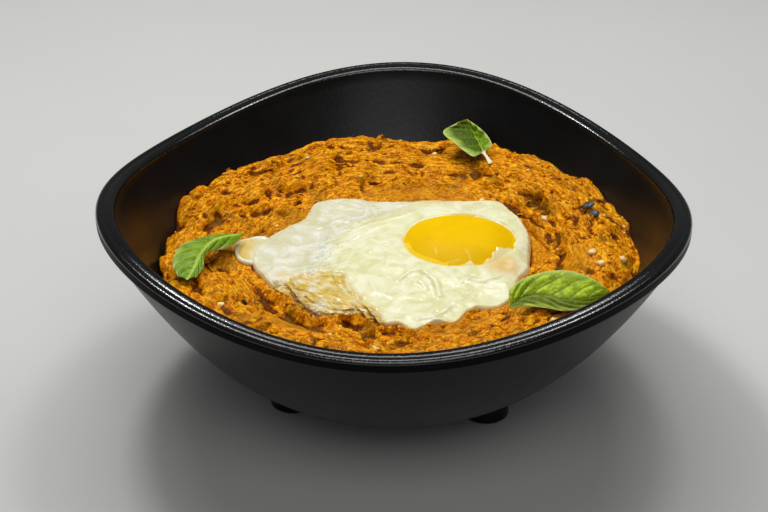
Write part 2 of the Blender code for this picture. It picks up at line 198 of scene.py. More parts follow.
def bumps(x, y, size, layer=0.0):
    """Smooth noise, about -1 to 1, whose bumps are size metres across."""
    flat = zip(np.ravel(x) / size, np.ravel(y) / size)
    return np.array([noise.noise((a, b, layer)) for a, b in flat]).reshape(np.shape(x))


def folds(x, y, size, layer=0.0):
    """Noise folded at zero: round mounds, 0 to about 1, with sharp creases between them."""
    return 2.0 * np.abs(bumps(x, y, size, layer))


def round_bowl(x, y, reach, across):
    """Places for a noise that runs round the bowl: on a circle of this reach, and outwards."""
    turn = np.arctan2(y, x)
    ways = (np.cos(turn) * reach, np.sin(turn) * reach, np.hypot(x, y) / across)
    return zip(*(np.ravel(way) for way in ways))


def slabs(x, y, size, layer, crack):
    """Torn slabs about size metres across and longer round the bowl, -1 to 1: each has its own
    height and tilt, and meets the next in a step, the more steeply the higher crack is."""
    height = []
    for place in round_bowl(x, y, SLAB_CIRCLE / size, size):
        place = Vector(place) + Vector((layer, layer, layer))
        distances, centres = noise.voronoi(place)
        levels = []
        for centre in centres[:2]:
            # A number that only this slab has, worked out from its place, sets its height and tilt.
            own = 37.1 * centre.x + 91.7 * centre.y + 53.3 * centre.z
            off = place - centre
            tilt = 0.9 * off.z * math.cos(1.7 * own) + 0.7 * off.x * math.sin(2.3 * own)
            levels.append(0.55 * math.sin(own) + tilt)
        whole = min(1.0, crack * (distances[1] - distances[0]))
        share = 0.5 + 0.5 * whole
        height.append(share * levels[0] + (1.0 - share) * levels[1] - 0.22 * (1.0 - whole) ** 2)
    return np.array(height).reshape(np.shape(x))


def streaks(x, y, along, across, layer=0.0):
    """Noise drawn out round the bowl, as a spoon draws it: along metres by across metres."""
    flat = round_bowl(x, y, STREAK_CIRCLE / along, across)
    return np.array([noise.noise((a, b, c + layer)) for a, b, c in flat]).reshape(np.shape(x))


print("a bell at its half width is", round(float(bell(1.0, 0.0, 1.0)), 2))

# %% [markdown]
# Creases, folds and patches that have places of their own are given as the photograph shows them
# from above: a spot by its middle, a fold by a line through a few places, and a patch by an outline.
# The distance to such a spot or line then becomes a bump, a ridge or a groove.

# %% Spots, lines and zones
def near_line(x, y, line, closed=False):
    """Distance in millimetres from places to a line through the places of a list in millimetres."""
    knots = np.array(line + line[:1] if closed else line, float) * MM
    nearest = np.full(np.shape(x), 1.0)
    for start, step in zip(knots[:-1], np.diff(knots, axis=0)):
        share = ((x - start[0]) * step[0] + (y - start[1]) * step[1]) / (step @ step)
        share = np.clip(share, 0.0, 1.0)
        off_x, off_y = x - start[0] - share * step[0], y - start[1] - share * step[1]
        nearest = np.minimum(nearest, np.hypot(off_x, off_y))
    return nearest / MM


def ridge(x, y, line, half_width):
    """1 on a line through places in millimetres, falling to 0 beside it."""
    return bell(near_line(x, y, line), 0.0, half_width)


def spot(x, y, x_mm, y_mm, half_width):
    """1 at a place in millimetres, falling to 0 round it."""
    return bell(np.hypot(x / MM - x_mm, y / MM - y_mm), 0.0, half_width)


def zone(x, y, outline, blur):
    """1 inside a closed outline in millimetres, 0 outside, with a soft edge blur millimetres wide."""
    knots = np.array(outline, float) * MM
    inside = np.zeros(np.shape(x), bool)
    for (x0, y0), (x1, y1) in zip(knots, np.roll(knots, -1, axis=0)):
        crosses = (y0 > y) != (y1 > y)
        inside ^= crosses & (x < (x1 - x0) * (y - y0) / (y1 - y0 if y1 != y0 else 1.0) + x0)
    away = near_line(x, y, outline, closed=True)
    return smooth(0.5 + np.where(inside, away, -away) / blur)


print("from the middle to a line that ends at (3, 4):", float(near_line(0.0, 0.0, [(3, 4), (3, 9)])), "mm")

# %% [markdown]
# ## Camera, floor and light
# The camera stands where the photograph was taken from: 28 degrees above the rim, a few degrees to
# the right, some 64 cm from the rim's middle. These come from fitting the rim's ellipse, its lip and
# the hull to the photograph. The roll and the shift only set the framing.

# %% Camera
RIM_HEIGHT = 77.5 * MM
CORNER_REACH = 2.0 * MM
AXIS = Vector((0.0, -CORNER_REACH, 0.0))
CAMERA_DISTANCE = 639.6 * MM
CAMERA_ELEVATION = math.radians(28.0)
CAMERA_TURN = math.radians(4.3)
CAMERA_ROLL = math.radians(0.6)
PHOTO_WIDTH = 768.0
FOCAL_PIXELS = 1800.0
SHIFT_PIXELS = (-11.4, -63.0)

level = math.cos(CAMERA_ELEVATION)
side, toward = math.sin(CAMERA_TURN) * level, -math.cos(CAMERA_TURN) * level
back = Vector((side, toward, math.sin(CAMERA_ELEVATION)))
camera_data = bpy.data.cameras.new("photo_camera")
camera_data.sensor_width = 36.0
camera_data.lens = FOCAL_PIXELS / PHOTO_WIDTH * camera_data.sensor_width
camera_data.shift_x = SHIFT_PIXELS[0] / PHOTO_WIDTH
camera_data.shift_y = SHIFT_PIXELS[1] / PHOTO_WIDTH
camera = bpy.data.objects.new("photo_camera", camera_data)
bpy.context.scene.collection.objects.link(camera)
camera.location = AXIS + Vector((0.0, 0.0, RIM_HEIGHT)) + back * CAMERA_DISTANCE
camera.rotation_mode = "QUATERNION"
roll = Quaternion((0.0, 0.0, 1.0), CAMERA_ROLL)
camera.rotation_quaternion = (-back).to_track_quat("-Z", "Y") @ roll
bpy.context.scene.camera = camera
print("camera at", [round(1000.0 * v) for v in camera.location], "mm, lens", round(camera_data.lens, 1))

# %% [markdown]
# The floor is a plain pale sheet of matt paper, wide enough to fill every view. The main light is
# a soft box overhead and a little behind the bowl, as food is often lit: it grazes the crumbs of the
# mash, so they cast small shadows towards the camera, and it draws the bright line on the lip. A
# weaker box in front opens those shadows, a faint low one is there only to be mirrored in the far
# inside of the bowl, and the grey world fills the rest. Two lamps the size of a hand beside the big
# box give what a large light can't: small sharp glints on the lip and on the wet egg. The view
# transform is Standard, which keeps a yolk's full yellow, where AgX would wash it out.

# %% Floor and lights
FLOOR_HALF = 3.0
FLOOR_HEIGHT = -0.2 * MM
FOOD_MIDDLE = Vector((0.0, 0.0, 0.06))
# Each light's place, size and power.
LIGHTS = {
    "soft_box_overhead": ((-0.05, 0.26, 0.80), (0.80, 0.50), 4.2),
    "lamp_left": ((-0.26, 0.28, 0.78), (0.14, 0.09), 2.2),
    "lamp_right": ((0.13, 0.30, 0.80), (0.14, 0.09), 0.9),
    "soft_box_front": ((0.10, -0.75, 0.95), (0.70, 0.50), 2.6),
    "soft_box_low": ((0.10, -1.05, 0.66), (0.60, 0.34), 0.6),
}
WORLD_GREY = "#d8dade"
WORLD_STRENGTH = 0.13

paper, paper_shader = new_material("matt paper")
paper_grain = node(paper, "TexNoise", {"Scale": per_mm(40.0), "Detail": 3.0})
paper_tone = node(paper, "ValToRGB", {"Fac": paper_grain.outputs["Fac"]},
                  [(0.3, "#c3c3c0"), (0.7, "#c8c8c5")])
finish_shader(paper, paper_shader, {"Roughness": 0.85}, Base_Color=paper_tone.outputs["Color"])
corners = [(FLOOR_HALF * x, FLOOR_HALF * y, FLOOR_HEIGHT) for x, y in ((-1, -1), (1, -1), (1, 1), (-1, 1))]
floor_mesh = bpy.data.meshes.new("floor")
floor_mesh.from_pydata(corners, [], [(0, 1, 2, 3)])
floor_mesh.materials.append(paper)
floor = bpy.data.objects.new("floor", floor_mesh)
bpy.context.scene.collection.objects.link(floor)


def area_light(name, place, size, power):
    """A rectangular light that faces the food."""
    data = bpy.data.lights.new(name, "AREA")
    data.shape = "RECTANGLE"
    data.size, data.size_y = size
    data.energy = power
    made = bpy.data.objects.new(name, data)
    bpy.context.scene.collection.objects.link(made)
    made.location = place
    made.rotation_mode = "QUATERNION"
    made.rotation_quaternion = (FOOD_MIDDLE - Vector(place)).to_track_quat("-Z", "Y")


for name, (place, size, power) in LIGHTS.items():
    area_light(name, place, size, power)
world = bpy.data.worlds.new("studio")
world.use_nodes = True
world.node_tree.nodes["Background"].inputs["Color"].default_value = linear(WORLD_GREY)
world.node_tree.nodes["Background"].inputs["Strength"].default_value = WORLD_STRENGTH
bpy.context.scene.world = world
bpy.context.scene.view_settings.view_transform = "Standard"
print(len(LIGHTS), "lights over a floor of", 2.0 * FLOOR_HALF, "m")

# %% [markdown]
# ## The bowl
# The real bowl is moulded: a round shell whose rim reaches out and rises at three corners, with a
# rolled lip, a band under the lip and three short feet. A lathe profile gives the shell, and one
# function pushes the corners out and up, more so the higher a point lies. The profile here is the
# same as the solid's, with many more points, so that the lip's two roundings catch a clean line of
# light. Its inside stops being seen where the mash begins, but it is finished all the way down.

# %% The bowl's measures
RIM_RADIUS = 104.0 * MM
CORNERS = 3
CORNER_LIFT = 4.6 * MM
LIP_WIDTH = 6.6 * MM
LIP_DROP = 0.3 * MM
LIP_BAND = 4.6 * MM
LIP_ROUNDING = 1.5 * MM
BAND_STEP = 1.4 * MM
GROOVE_INSET = 2.9 * MM
GROOVE_HALF_WIDTH = 0.6 * MM
GROOVE_DEPTH = 0.14 * MM
GROOVE_TOP = RIM_HEIGHT - 0.1 * MM
HULL_BOTTOM = 3.0 * MM
HULL_POWER = 2.8
FLOOR_TOP = 6.8 * MM
WALL_POWER = 3.0
BOWL_STEPS = 300
INNER_RADIUS = RIM_RADIUS - LIP_WIDTH
WALL_SPAN = RIM_HEIGHT - LIP_DROP - LIP_ROUNDING - FLOOR_TOP


def wall_height(radius):
    """Height of the bowl's inside, on its mean outline."""
    return FLOOR_TOP + WALL_SPAN * (radius / INNER_RADIUS) ** WALL_POWER


def wall_radius(height):
    """Radius of the bowl's inside at a height, on its mean outline."""
    return INNER_RADIUS * ((height - FLOOR_TOP) / WALL_SPAN) ** (1.0 / WALL_POWER)


def hull_height(radius):
    """Height of the bowl's outside, on its mean outline."""
    span = RIM_HEIGHT - LIP_BAND - HULL_BOTTOM
    return HULL_BOTTOM + span * (radius / (RIM_RADIUS - BAND_STEP)) ** HULL_POWER


def on_axis(x, y, z):
    """Places measured from the bowl's axis, as places of the scene."""
    return np.stack(np.broadcast_arrays(x, y + AXIS.y, z), axis=-1)


def cornered(x, y, z):
    """Push points of a round bowl out and up at the corners, in and down between them."""
    wave = np.cos(CORNERS * (np.arctan2(y, x) - math.pi / 2.0))
    grown = 1.0 + wave * CORNER_REACH / RIM_RADIUS
    share = np.maximum(0.0, z - HULL_BOTTOM) / (RIM_HEIGHT - HULL_BOTTOM)
    return on_axis(x * grown, y * grown, z + wave * CORNER_LIFT * share)


rim_heights = [round((RIM_HEIGHT + lift) / MM, 1) for lift in (-CORNER_LIFT, CORNER_LIFT)]
print("the rim's lowest and highest places in mm:", rim_heights)

# %% [markdown]
# The lip is where the light shows how the bowl is made: an inner rounding, a top face that falls
# slightly inwards, a fuller outer rounding and a band that steps back to the hull.

# %% The bowl's profile
def arc(centre, radius, start, end, count):
    """Points on an arc of the profile, with angles in degrees."""
    angles = np.radians(np.linspace(start, end, count))
    return list(zip(centre[0] + radius * np.cos(angles), centre[1] + radius * np.sin(angles)))


def bowl_profile():
    """The profile's four stretches: inside, lip, band and outside."""
    hull = RIM_RADIUS - BAND_STEP
    band_end = RIM_HEIGHT - LIP_BAND
    inside = [(r, wall_height(r)) for r in INNER_RADIUS * np.linspace(0.0, 1.0, 44)[:-1] ** 0.7]
    inner_top = RIM_HEIGHT - LIP_DROP - LIP_ROUNDING
    lip = arc((INNER_RADIUS + LIP_ROUNDING, inner_top), LIP_ROUNDING, 180, 96, 8)
    groove = RIM_RADIUS - GROOVE_INSET
    for share in np.linspace(-1.0, 1.0, 7):
        depth = GROOVE_DEPTH * (1.0 - share * share)
        lip.append((groove + share * GROOVE_HALF_WIDTH, GROOVE_TOP - depth))
    lip += arc((RIM_RADIUS - LIP_ROUNDING, RIM_HEIGHT - LIP_ROUNDING), LIP_ROUNDING, 98, 0, 10)
    band = [(RIM_RADIUS, band_end + BAND_STEP * 1.2), (RIM_RADIUS - 0.1 * MM, band_end + BAND_STEP * 0.6)]
    band += arc((hull + BAND_STEP * 0.5, band_end + BAND_STEP * 0.5), BAND_STEP * 0.5, 0, -180, 7)[1:]
    band += [(hull, band_end)]
    outside = [(r, hull_height(r)) for r in hull * (1.0 - np.linspace(0.0, 1.0, 44)[1:] ** 1.4)]
    return inside, lip, band, outside


stretches = bowl_profile()
lip_start, band_start, hull_start = np.cumsum([len(stretch) for stretch in stretches])[:3].tolist()
profile = np.concatenate(stretches)
around = np.linspace(0.0, 2.0 * math.pi, BOWL_STEPS, endpoint=False)
radii, heights = profile[:, :1], profile[:, 1:]
bowl_rings = cornered(radii * np.cos(around), radii * np.sin(around), heights)
print("the bowl's profile has", len(profile), "points")

# %% [markdown]
# Melamine is a hard thermoset plastic, pressed in a heated mould. Its body is dense and even, so
# there is no grain to see, but the moulded skin is slightly uneven, like orange peel, which blurs
# reflections. It gives the eye a near-black surface with a soft satin sheen. IOR 1.55 is typical of
# melamine resin. The peel is about 1.6 mm on the real thing and far shallower than it is wide. The
# lip is polished by hands, so its peel is finer and its light sharper. The band under it is painted
# shade: a copy that hardly reflects, which stands in for the shade of the undercut below the lip.

# %% Black melamine
def black_melamine(name, specular, smoothest, roughest, peel_strength, peel_size=1.6):
    material, shader = new_material(name)
    place = node(material, "TexCoord").outputs["Object"]
    peel = node(material, "TexNoise", {"Vector": place, "Scale": per_mm(peel_size), "Detail": 2.0})
    haze = node(material, "TexNoise", {"Vector": place, "Scale": per_mm(22.0), "Detail": 4.0})
    tone = node(material, "ValToRGB", {"Fac": haze.outputs["Fac"]}, [(0.35, "#070707"), (0.7, "#0b0b0b")])
    gloss = node(material, "MapRange", {0: haze.outputs["Fac"], 1: 0.3, 2: 0.7, 3: smoothest, 4: roughest})
    relief = node(material, "Bump", {"Height": peel.outputs["Fac"], "Distance": 0.10 * MM,
                                     "Strength": peel_strength})
    values = {"IOR": 1.55, "Specular IOR Level": specular}
    links = {"Base_Color": tone.outputs["Color"], "Roughness": gloss.outputs[0], "Normal": relief.outputs[0]}
    finish_shader(material, shader, values, **links)
    return material


melamine = black_melamine("black melamine", 0.27, 0.32, 0.40, 0.5)
polished_melamine = black_melamine("black melamine, worn bright", 0.60, 0.08, 0.16, 1.0, 0.9)
# Painted shade: a copy that hardly reflects, for the band in the undercut under the lip.
band_shade_melamine = black_melamine("black melamine, band in painted shade", 0.04, 0.40, 0.45, 0.5)
bowl_points, bowl_faces = closed_skin(bowl_rings)
bowl = add_piece("bowl_shell", bowl_points, bowl_faces, melamine, "bowl")
# The rows of faces on the lip are worn bright, and those on the band are in painted shade.
finishes = ((polished_melamine, lip_start - 1, band_start - 2),
            (band_shade_melamine, band_start - 2, hull_start - 1))
for index, (finish, first_row, last_row) in enumerate(finishes, start=1):
    bowl.data.materials.append(finish)
    for face in bowl.data.polygons[first_row * BOWL_STEPS:last_row * BOWL_STEPS]:
        face.material_index = index
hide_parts("bowl")
print("the shell has", len(bowl.data.materials), "finishes of one plastic")

# %% [markdown]
# The feet are moulded with the bowl: short round stubs, one under each corner, with a small rounding
# at the sole. Each is a small lathe turning whose top follows the hull and sinks a little into it.

# %% The three feet
FOOT_REACH = 40.5 * MM
FOOT_RADIUS = 8.5 * MM
FOOT_ROUNDING = 0.8 * MM
FOOT_SINK = 1.6 * MM
FOOT_SIDE = 4.0 * MM
FOOT_STEPS = 48


def foot_rings(angle):
    """Rings of a foot from its top, where no height is given but the hull's, to its sole."""
    sole = arc((FOOT_RADIUS - FOOT_ROUNDING, FOOT_ROUNDING), FOOT_ROUNDING, 0, -90, 6)
    outline = [(0.0, None), (FOOT_RADIUS, None), (FOOT_RADIUS, FOOT_SIDE)] + sole + [(0.0, 0.0)]
    turn = np.linspace(0.0, 2.0 * math.pi, FOOT_STEPS, endpoint=False)
    rings = []
    for radius, height in outline:
        x = FOOT_REACH * math.cos(angle) + radius * np.cos(turn)
        y = FOOT_REACH * math.sin(angle) + radius * np.sin(turn)
        z = hull_height(np.hypot(x, y)) + FOOT_SINK if height is None else height
        rings.append(on_axis(x, y, z))
    return np.array(rings)


foot_angles = [math.pi / 2.0 + corner * 2.0 * math.pi / CORNERS for corner in range(CORNERS)]
feet = joined([closed_skin(foot_rings(angle)) for angle in foot_angles])
add_piece("bowl_feet", *feet, melamine, "bowl")

# %% [markdown]
# ## The egg's outline
# The egg lies in the mash, so its outline is needed before the mash is: the mash is calm under it
# and rough beside it. An outline like this has no formula, so it is a closed curve through a few
# measured reaches from the middle of the yolk, each at its angle in degrees.

# %% The egg's outline
YOLK_CENTRE = np.array((23.3, 2.0)) * MM
WHITE_REACH = (
    (10, 26.1), (19, 26.8), (38, 28.9), (56, 32.2), (67, 35.2), (76, 35.6), (90, 34.6), (110, 36.2),
    (125, 40.0), (135, 45.4), (142, 54.6), (148, 60.6), (154, 62.8), (160, 61.4), (165, 60.8),
    (170, 63.8), (176, 67.6), (182, 71.2), (189, 74.4), (195, 74.6), (201, 72.8), (209, 71.2),
    (214, 69.0), (220, 68.8), (227, 69.6), (231, 63.8), (236, 58.4), (241, 58.0), (247, 58.8),
    (252, 56.9), (258, 58.6), (263, 52.6), (268, 51.6), (272, 50.4), (276, 44.6), (281, 42.4),
    (288, 43.6), (296, 42.4), (304, 37.0), (314, 31.4), (328, 29.6), (342, 26.8), (354, 25.7),
)
# Reach of the bare yolk at each angle: the white laps over its lower right.
BARE_YOLK = (
    (6, 19.9), (16, 20.0), (27, 19.8), (38, 19.2), (49, 17.7), (61, 18.0), (74, 18.8), (89, 18.9),
    (104, 18.8), (121, 18.7), (138, 18.8), (154, 18.9), (171, 19.4), (190, 20.1), (207, 20.3),
    (221, 20.3), (236, 20.4), (248, 20.2), (261, 19.6), (275, 18.3), (286, 16.9), (290, 18.4),
    (297, 18.8), (306, 17.4), (312, 17.4), (318, 15.9), (327, 15.9), (331, 15.0), (336, 16.4),
    (341, 17.9), (344, 18.0), (347, 20.2), (354, 19.2),
)
# The lobe: middle and radius in mm, and how much it is stretched across and along the bowl.
LOBE_CENTRE = (-49.6, -4.4)
LOBE_RADIUS = 9.2
LOBE_STRETCH = (0.87, 1.12)


def closed_curve(pairs, angle):
    """The reach at an angle in radians, on a smooth closed curve through (degrees, reach in mm)."""
    knots = np.array(pairs, float)
    before, after = knots[-2:] - (360.0, 0.0), knots[:2] + (360.0, 0.0)
    knots = np.vstack([before, knots, after])
    turn = np.degrees(angle) % 360.0
    i = np.clip(np.searchsorted(knots[:, 0], turn, side="right"), 2, len(knots) - 2)
    (a0, r0), (a1, r1), (a2, r2), (a3, r3) = (knots[i + k].T for k in (-2, -1, 0, 1))
    step, share = a2 - a1, (turn.T - a1) / (a2 - a1)
    rise1, rise2 = (r2 - r0) / (a2 - a0) * step, (r3 - r1) / (a3 - a1) * step
    curve = ((2 * r1 - 2 * r2 + rise1 + rise2) * share - 3 * r1 + 3 * r2 - 2 * rise1 - rise2) * share
    return (((curve + rise1) * share + r1) * MM).T


def from_yolk(x, y):
    """Distance and angle of places on the food, measured from the middle of the yolk."""
    off_x, off_y = x - YOLK_CENTRE[0], y - YOLK_CENTRE[1]
    return np.hypot(off_x, off_y), np.arctan2(off_y, off_x)


def outside_egg(x, y):
    """How far a place lies outside the egg's outline; negative under the egg."""
    distance, angle = from_yolk(x, y)
    return distance - closed_curve(WHITE_REACH, angle)


left_reach = closed_curve(WHITE_REACH, np.array([math.pi]))[0] / MM
print("the egg reaches", round(float(left_reach), 1), "mm to the left")

# %% [markdown]
# The leaves lie on the mash as well, so their places are needed early too. Each is given by three
# lines from stem to tip, in millimetres: its midrib and its edges on the far and the near side.
# Veins are the shares of its length at which side veins leave the midrib, and slant is how far they
# run on along it. The base of the leaf on the left lies at the egg, so its veins slant the other way.
# Between the veins of the near side the leaf bulges less, by the number called quilt_near.

# %% The leaves' measures
LEAVES = {
    "basil_leaf_right": {
        "far": ((42.4, -44.7, 61.5), (42.2, -41.6, 65.1), (48.4, -35.5, 66.9),
                (59.2, -31.1, 67.2), (68.4, -33.0, 66.4), (75.5, -38.4, 64.6)),
        "rib": ((42.4, -46.3, 60.9), (45.7, -43.6, 62.6), (52.3, -41.7, 63.6),
                (60.7, -44.8, 64.0), (68.3, -43.1, 64.2), (75.7, -38.5, 64.2)),
        "near": ((42.8, -47.4, 60.7), (46.1, -46.7, 61.4), (52.8, -46.7, 61.6),
                 (61.1, -48.4, 61.7), (68.1, -45.7, 62.2), (75.3, -39.0, 63.8)),
        "veins": (0.02, 0.17, 0.33, 0.48, 0.63, 0.78),
        "slant": 0.29, "quilt_near": 0.35,
    },
    "basil_leaf_left": {
        "far": ((-71.6, -38.8, 61.5), (-75.1, -30.3, 62.5), (-74.3, -19.4, 62.8),
                (-69.2, -12.9, 62.2), (-61.9, -5.9, 60.2), (-55.3, 0.6, 57.8)),
        "rib": ((-68.1, -40.7, 61.6), (-66.5, -33.7, 63.4), (-65.7, -25.7, 63.8),
                (-63.8, -15.2, 62.8), (-59.8, -7.1, 60.6), (-55.1, 0.2, 57.6)),
        "near": ((-65.2, -37.9, 61.4), (-64.0, -31.8, 62.0), (-64.9, -23.2, 62.2),
                 (-62.0, -17.8, 60.8), (-57.2, -10.5, 58.8), (-55.4, -0.3, 57.3)),
        "veins": (0.16, 0.27, 0.38, 0.52, 0.68, 0.84),
        "slant": -0.20, "quilt_near": 0.8,
    },
    "basil_leaf_back": {
        "far": ((33.3, 57.2, 62.3), (30.2, 63.7, 63.4), (32.6, 66.4, 64.8),
                (30.8, 71.8, 66.2), (27.0, 77.2, 67.4), (22.0, 84.3, 67.4)),
        "rib": ((32.5, 56.4, 62.2), (29.6, 63.2, 63.2), (27.6, 70.9, 63.2),
                (25.5, 77.3, 63.9), (23.5, 82.1, 65.2), (21.4, 84.2, 67.2)),
        "near": ((31.8, 56.0, 62.1), (29.0, 62.6, 63.1), (25.3, 60.5, 62.9),
                 (18.5, 66.5, 64.8), (13.0, 74.5, 66.0), (18.3, 80.6, 67.4)),
        "veins": (0.34, 0.5, 0.66, 0.8),
        "slant": 0.16, "quilt_near": 0.9,
    },
}
print("leaves:", ", ".join(LEAVES))

# %% [markdown]
# ## The mash
# Mirza ghasemi is smoked aubergine, tomato, garlic and egg, cooked down and stirred: a moist, stringy,
# crumbly paste. It was spooned into a ring and a spoon's back was drawn round it, so it has a well,
# a wide crest, curved furrows and small torn-off crumbs. A height over each place of a polar grid
# is the simplest way to get all this: the bed first, then furrows and lumps as the solid has them,
# then finer and finer crumbs that the solid leaves out. The crumbs are pushed out along the surface's
# own direction, so that those on the shoulder lean outwards.

# %% The bed of the mash
WELL_CENTRE = (-2.0 * MM, -5.0 * MM)
WELL_RADIUS = 48.0 * MM
WELL_HEIGHT = 53.0 * MM
CREST_RADIUS = 72.0 * MM
CREST_HEIGHT = 60.5 * MM
SHOULDER_RADIUS = 77.0 * MM
SHOULDER_WIDTH = 10.0 * MM
CONTACT_HEIGHT = 57.2 * MM
# Where the pile is lower: middle angle and half width in degrees, drop at the wall, drop of the crest.
LOW_STRETCHES = ((185, 12, 7.0, 3.0), (140, 12, 2.6, 2.2), (88, 16, 0.8, 2.2), (46, 14, 0.0, -1.0))


def turned_from(angle, middle):
    """Degrees from a middle in degrees to angles in radians, from -180 to 180."""
    return (np.degrees(angle) - middle + 180.0) % 360.0 - 180.0


def lowered(angle, which):
    """How far the pile is lower at this angle: which is 2 at the wall and 3 at the crest."""
    drops = [s[which] * MM * smooth(2.0 - np.abs(turned_from(angle, s[0])) / s[1]) for s in LOW_STRETCHES]
    return sum(drops)


def bed_height(x, y):
    """The mash without its relief: a flat well, a wide crest and a shoulder at the wall."""
    from_well = np.hypot(x - WELL_CENTRE[0], y - WELL_CENTRE[1])
    angle = np.arctan2(y, x)
    crest = CREST_HEIGHT - lowered(angle, 3)
    climb = smooth((from_well - WELL_RADIUS) / (CREST_RADIUS - WELL_RADIUS))
    drop = np.clip((np.hypot(x, y) - SHOULDER_RADIUS) / SHOULDER_WIDTH, 0.0, 1.4) ** 2
    contact = CONTACT_HEIGHT - lowered(angle, 2)
    return WELL_HEIGHT + (crest - WELL_HEIGHT) * climb - (crest - contact) * drop


def contact_edge(angle):
    """Where the mash meets the wall: a little past the wall's face, so that no gap shows."""
    lift = np.cos(CORNERS * (angle - math.pi / 2.0)) * CORNER_LIFT / (RIM_HEIGHT - HULL_BOTTOM)
    contact = CONTACT_HEIGHT - lowered(angle, 2)
    mean_height = (contact + lift * HULL_BOTTOM) / (1.0 + lift)
    return wall_radius(mean_height) * (1.0 + lift * CORNER_REACH / CORNER_LIFT)


print("the well is", 1000.0 * (CREST_HEIGHT - WELL_HEIGHT), "mm deep")

# %% [markdown]
# The furrows are where the spoon's edge ran: each is a stretch of a spiral, with a start and an end
# angle, a start and an end radius, a depth and a half width, as the solid has them. The mash tears
# as it is pushed, so a furrow is never even: slow noise bends it and changes its depth. Sharp cracks
# and torn pits are added by their places on the bed. Where the back of the spoon pressed, the mash is
# smeared smooth, and crumbs are left out.

# %% Furrows, cracks, pits and smears
SPOON_MARKS = (
    (40, -8, 53.5, 60.0, 2.0, 2.2), (64, 6, 62.5, 59.0, 2.2, 2.4), (30, 2, 66.5, 67.0, 1.2, 2.2),
    (172, 132, 69.5, 57.5, 2.0, 2.6), (118, 86, 68.0, 64.0, 2.4, 2.6), (100, 60, 58.5, 60.0, 1.4, 3.0),
    (216, 250, 56.0, 60.0, 1.6, 2.6), (262, 300, 68.0, 65.5, 1.4, 2.8),
)
MARK_FADE = 8.0
# Cracks: depth and half width in mm, then the places that they run through.
CRACKS = (
    (2.6, 0.9, ((43.5, 26.5), (48.3, 20.3), (52.1, 11.5), (55.0, 5.9), (57.9, -0.4), (59.3, -6.7))),
    (1.5, 1.1, ((36.4, 46.3), (40.3, 44.2), (44.2, 40.5), (47.3, 35.1), (49.9, 29.0), (53.7, 20.1))),
    (1.1, 1.0, ((61.0, 27.6), (62.4, 20.0), (63.0, 12.0), (62.1, 4.9))),
    (1.0, 0.8, ((66.0, 33.0), (69.0, 22.0), (71.0, 12.0))),
    (1.6, 1.3, ((-68.3, 10.7), (-64.1, 14.2), (-59.1, 17.8), (-51.6, 23.2), (-45.7, 29.4), (-39.0, 35.7))),
    (1.4, 1.2, ((-48.8, 11.1), (-53.9, 3.1), (-58.7, 5.6))),
    (1.5, 1.3, ((-47.7, -26.3), (-43.4, -33.4), (-38.0, -39.6), (-34.0, -43.8), (-29.1, -49.8))),
    (1.0, 0.9, ((-27.0, 56.0), (-17.0, 60.0), (-6.0, 60.5), (2.0, 62.0))),
    (1.0, 0.9, ((6.0, 56.0), (14.0, 57.0), (22.0, 54.0), (31.0, 48.0))),
    (0.9, 0.8, ((-66.0, -18.0), (-62.0, -26.0), (-64.0, -34.0))),
    (0.9, 0.8, ((-20.0, -66.0), (-10.0, -63.0), (2.0, -64.0), (14.0, -61.0), (26.0, -63.0))),
    (1.0, 0.9, ((36.0, -52.0), (44.0, -54.0), (52.0, -50.0))),
)
# Torn pits: place, depth and half width in mm.
PITS = (
    (-16.8, 62.3, 2.0, 1.5), (-11.9, 51.6, 1.9, 1.2), (-1.0, 61.2, 2.2, 1.4), (24.9, 49.3, 1.6, 1.2),
    (-22.4, 60.0, 1.4, 1.1), (-54.8, 9.5, 1.8, 1.5), (-46.8, 5.0, 2.0, 1.8), (-38.3, 30.8, 1.4, 1.3),
    (9.0, 64.0, 1.6, 1.1), (-33.0, 52.0, 1.2, 1.0), (41.0, 55.0, 1.5, 1.1), (68.5, 2.0, 1.2, 1.2),
    (-64.0, -8.0, 1.4, 1.3), (-40.0, -50.0, 1.3, 1.1), (55.0, -40.0, 1.3, 1.2), (-72.0, 14.0, 1.3, 1.0),
)
# Peaks and dips of the crest that the outline shows: place, height and half width in mm.
CREST_BUMPS = (
    (-83.0, -8.0, -3.5, 9.0), (-81.0, 12.0, -4.2, 7.0), (-77.0, 32.0, 1.6, 4.0), (-70.5, 43.0, 1.6, 4.0),
    (-68.0, 47.5, 3.2, 2.4), (-59.0, 54.5, -4.8, 5.5), (-54.5, 56.5, -3.4, 3.6), (-49.8, 57.8, 3.2, 2.0),
    (-41.2, 64.5, 1.6, 1.6), (-37.5, 72.5, -4.6, 4.8), (-21.5, 76.0, 1.2, 3.0), (-12.2, 79.5, 2.8, 2.2),
    (6.5, 80.5, -4.8, 6.5), (11.5, 79.0, -2.4, 4.0), (33.2, 79.5, 3.2, 2.2), (39.0, 74.0, 1.2, 3.5),
    (49.0, 68.0, -0.8, 4.0), (61.5, 55.0, -1.0, 4.5), (69.0, 48.0, 2.2, 2.4), (75.5, 39.0, -3.0, 4.0),
    (80.5, 26.0, -2.0, 6.0), (84.0, 13.0, -2.0, 7.0),
)
# Smears: middle angle and radius, half lengths round the bowl and across it, in mm.
SMEARS = (
    (76, 45.5, 21.0, 5.5), (240, 66.0, 9.0, 5.0), (12, 52.0, 15.0, 3.2), (152, 42.0, 13.0, 6.0),
    (184, 53.0, 8.0, 4.0), (292, 58.0, 14.0, 3.5), (350, 66.0, 8.0, 5.0),
)
# Where the aubergine's own dark green-brown shows: place and half width in mm.
OLIVE_ZONES = (
    (-41.2, 23.2, 5.0), (-36.5, 15.9, 5.0), (-46.4, 7.3, 5.5), (-52.2, -3.0, 5.0), (-32.0, -47.0, 4.5),
    (48.5, 37.0, 4.0), (56.0, 27.0, 3.5),
)


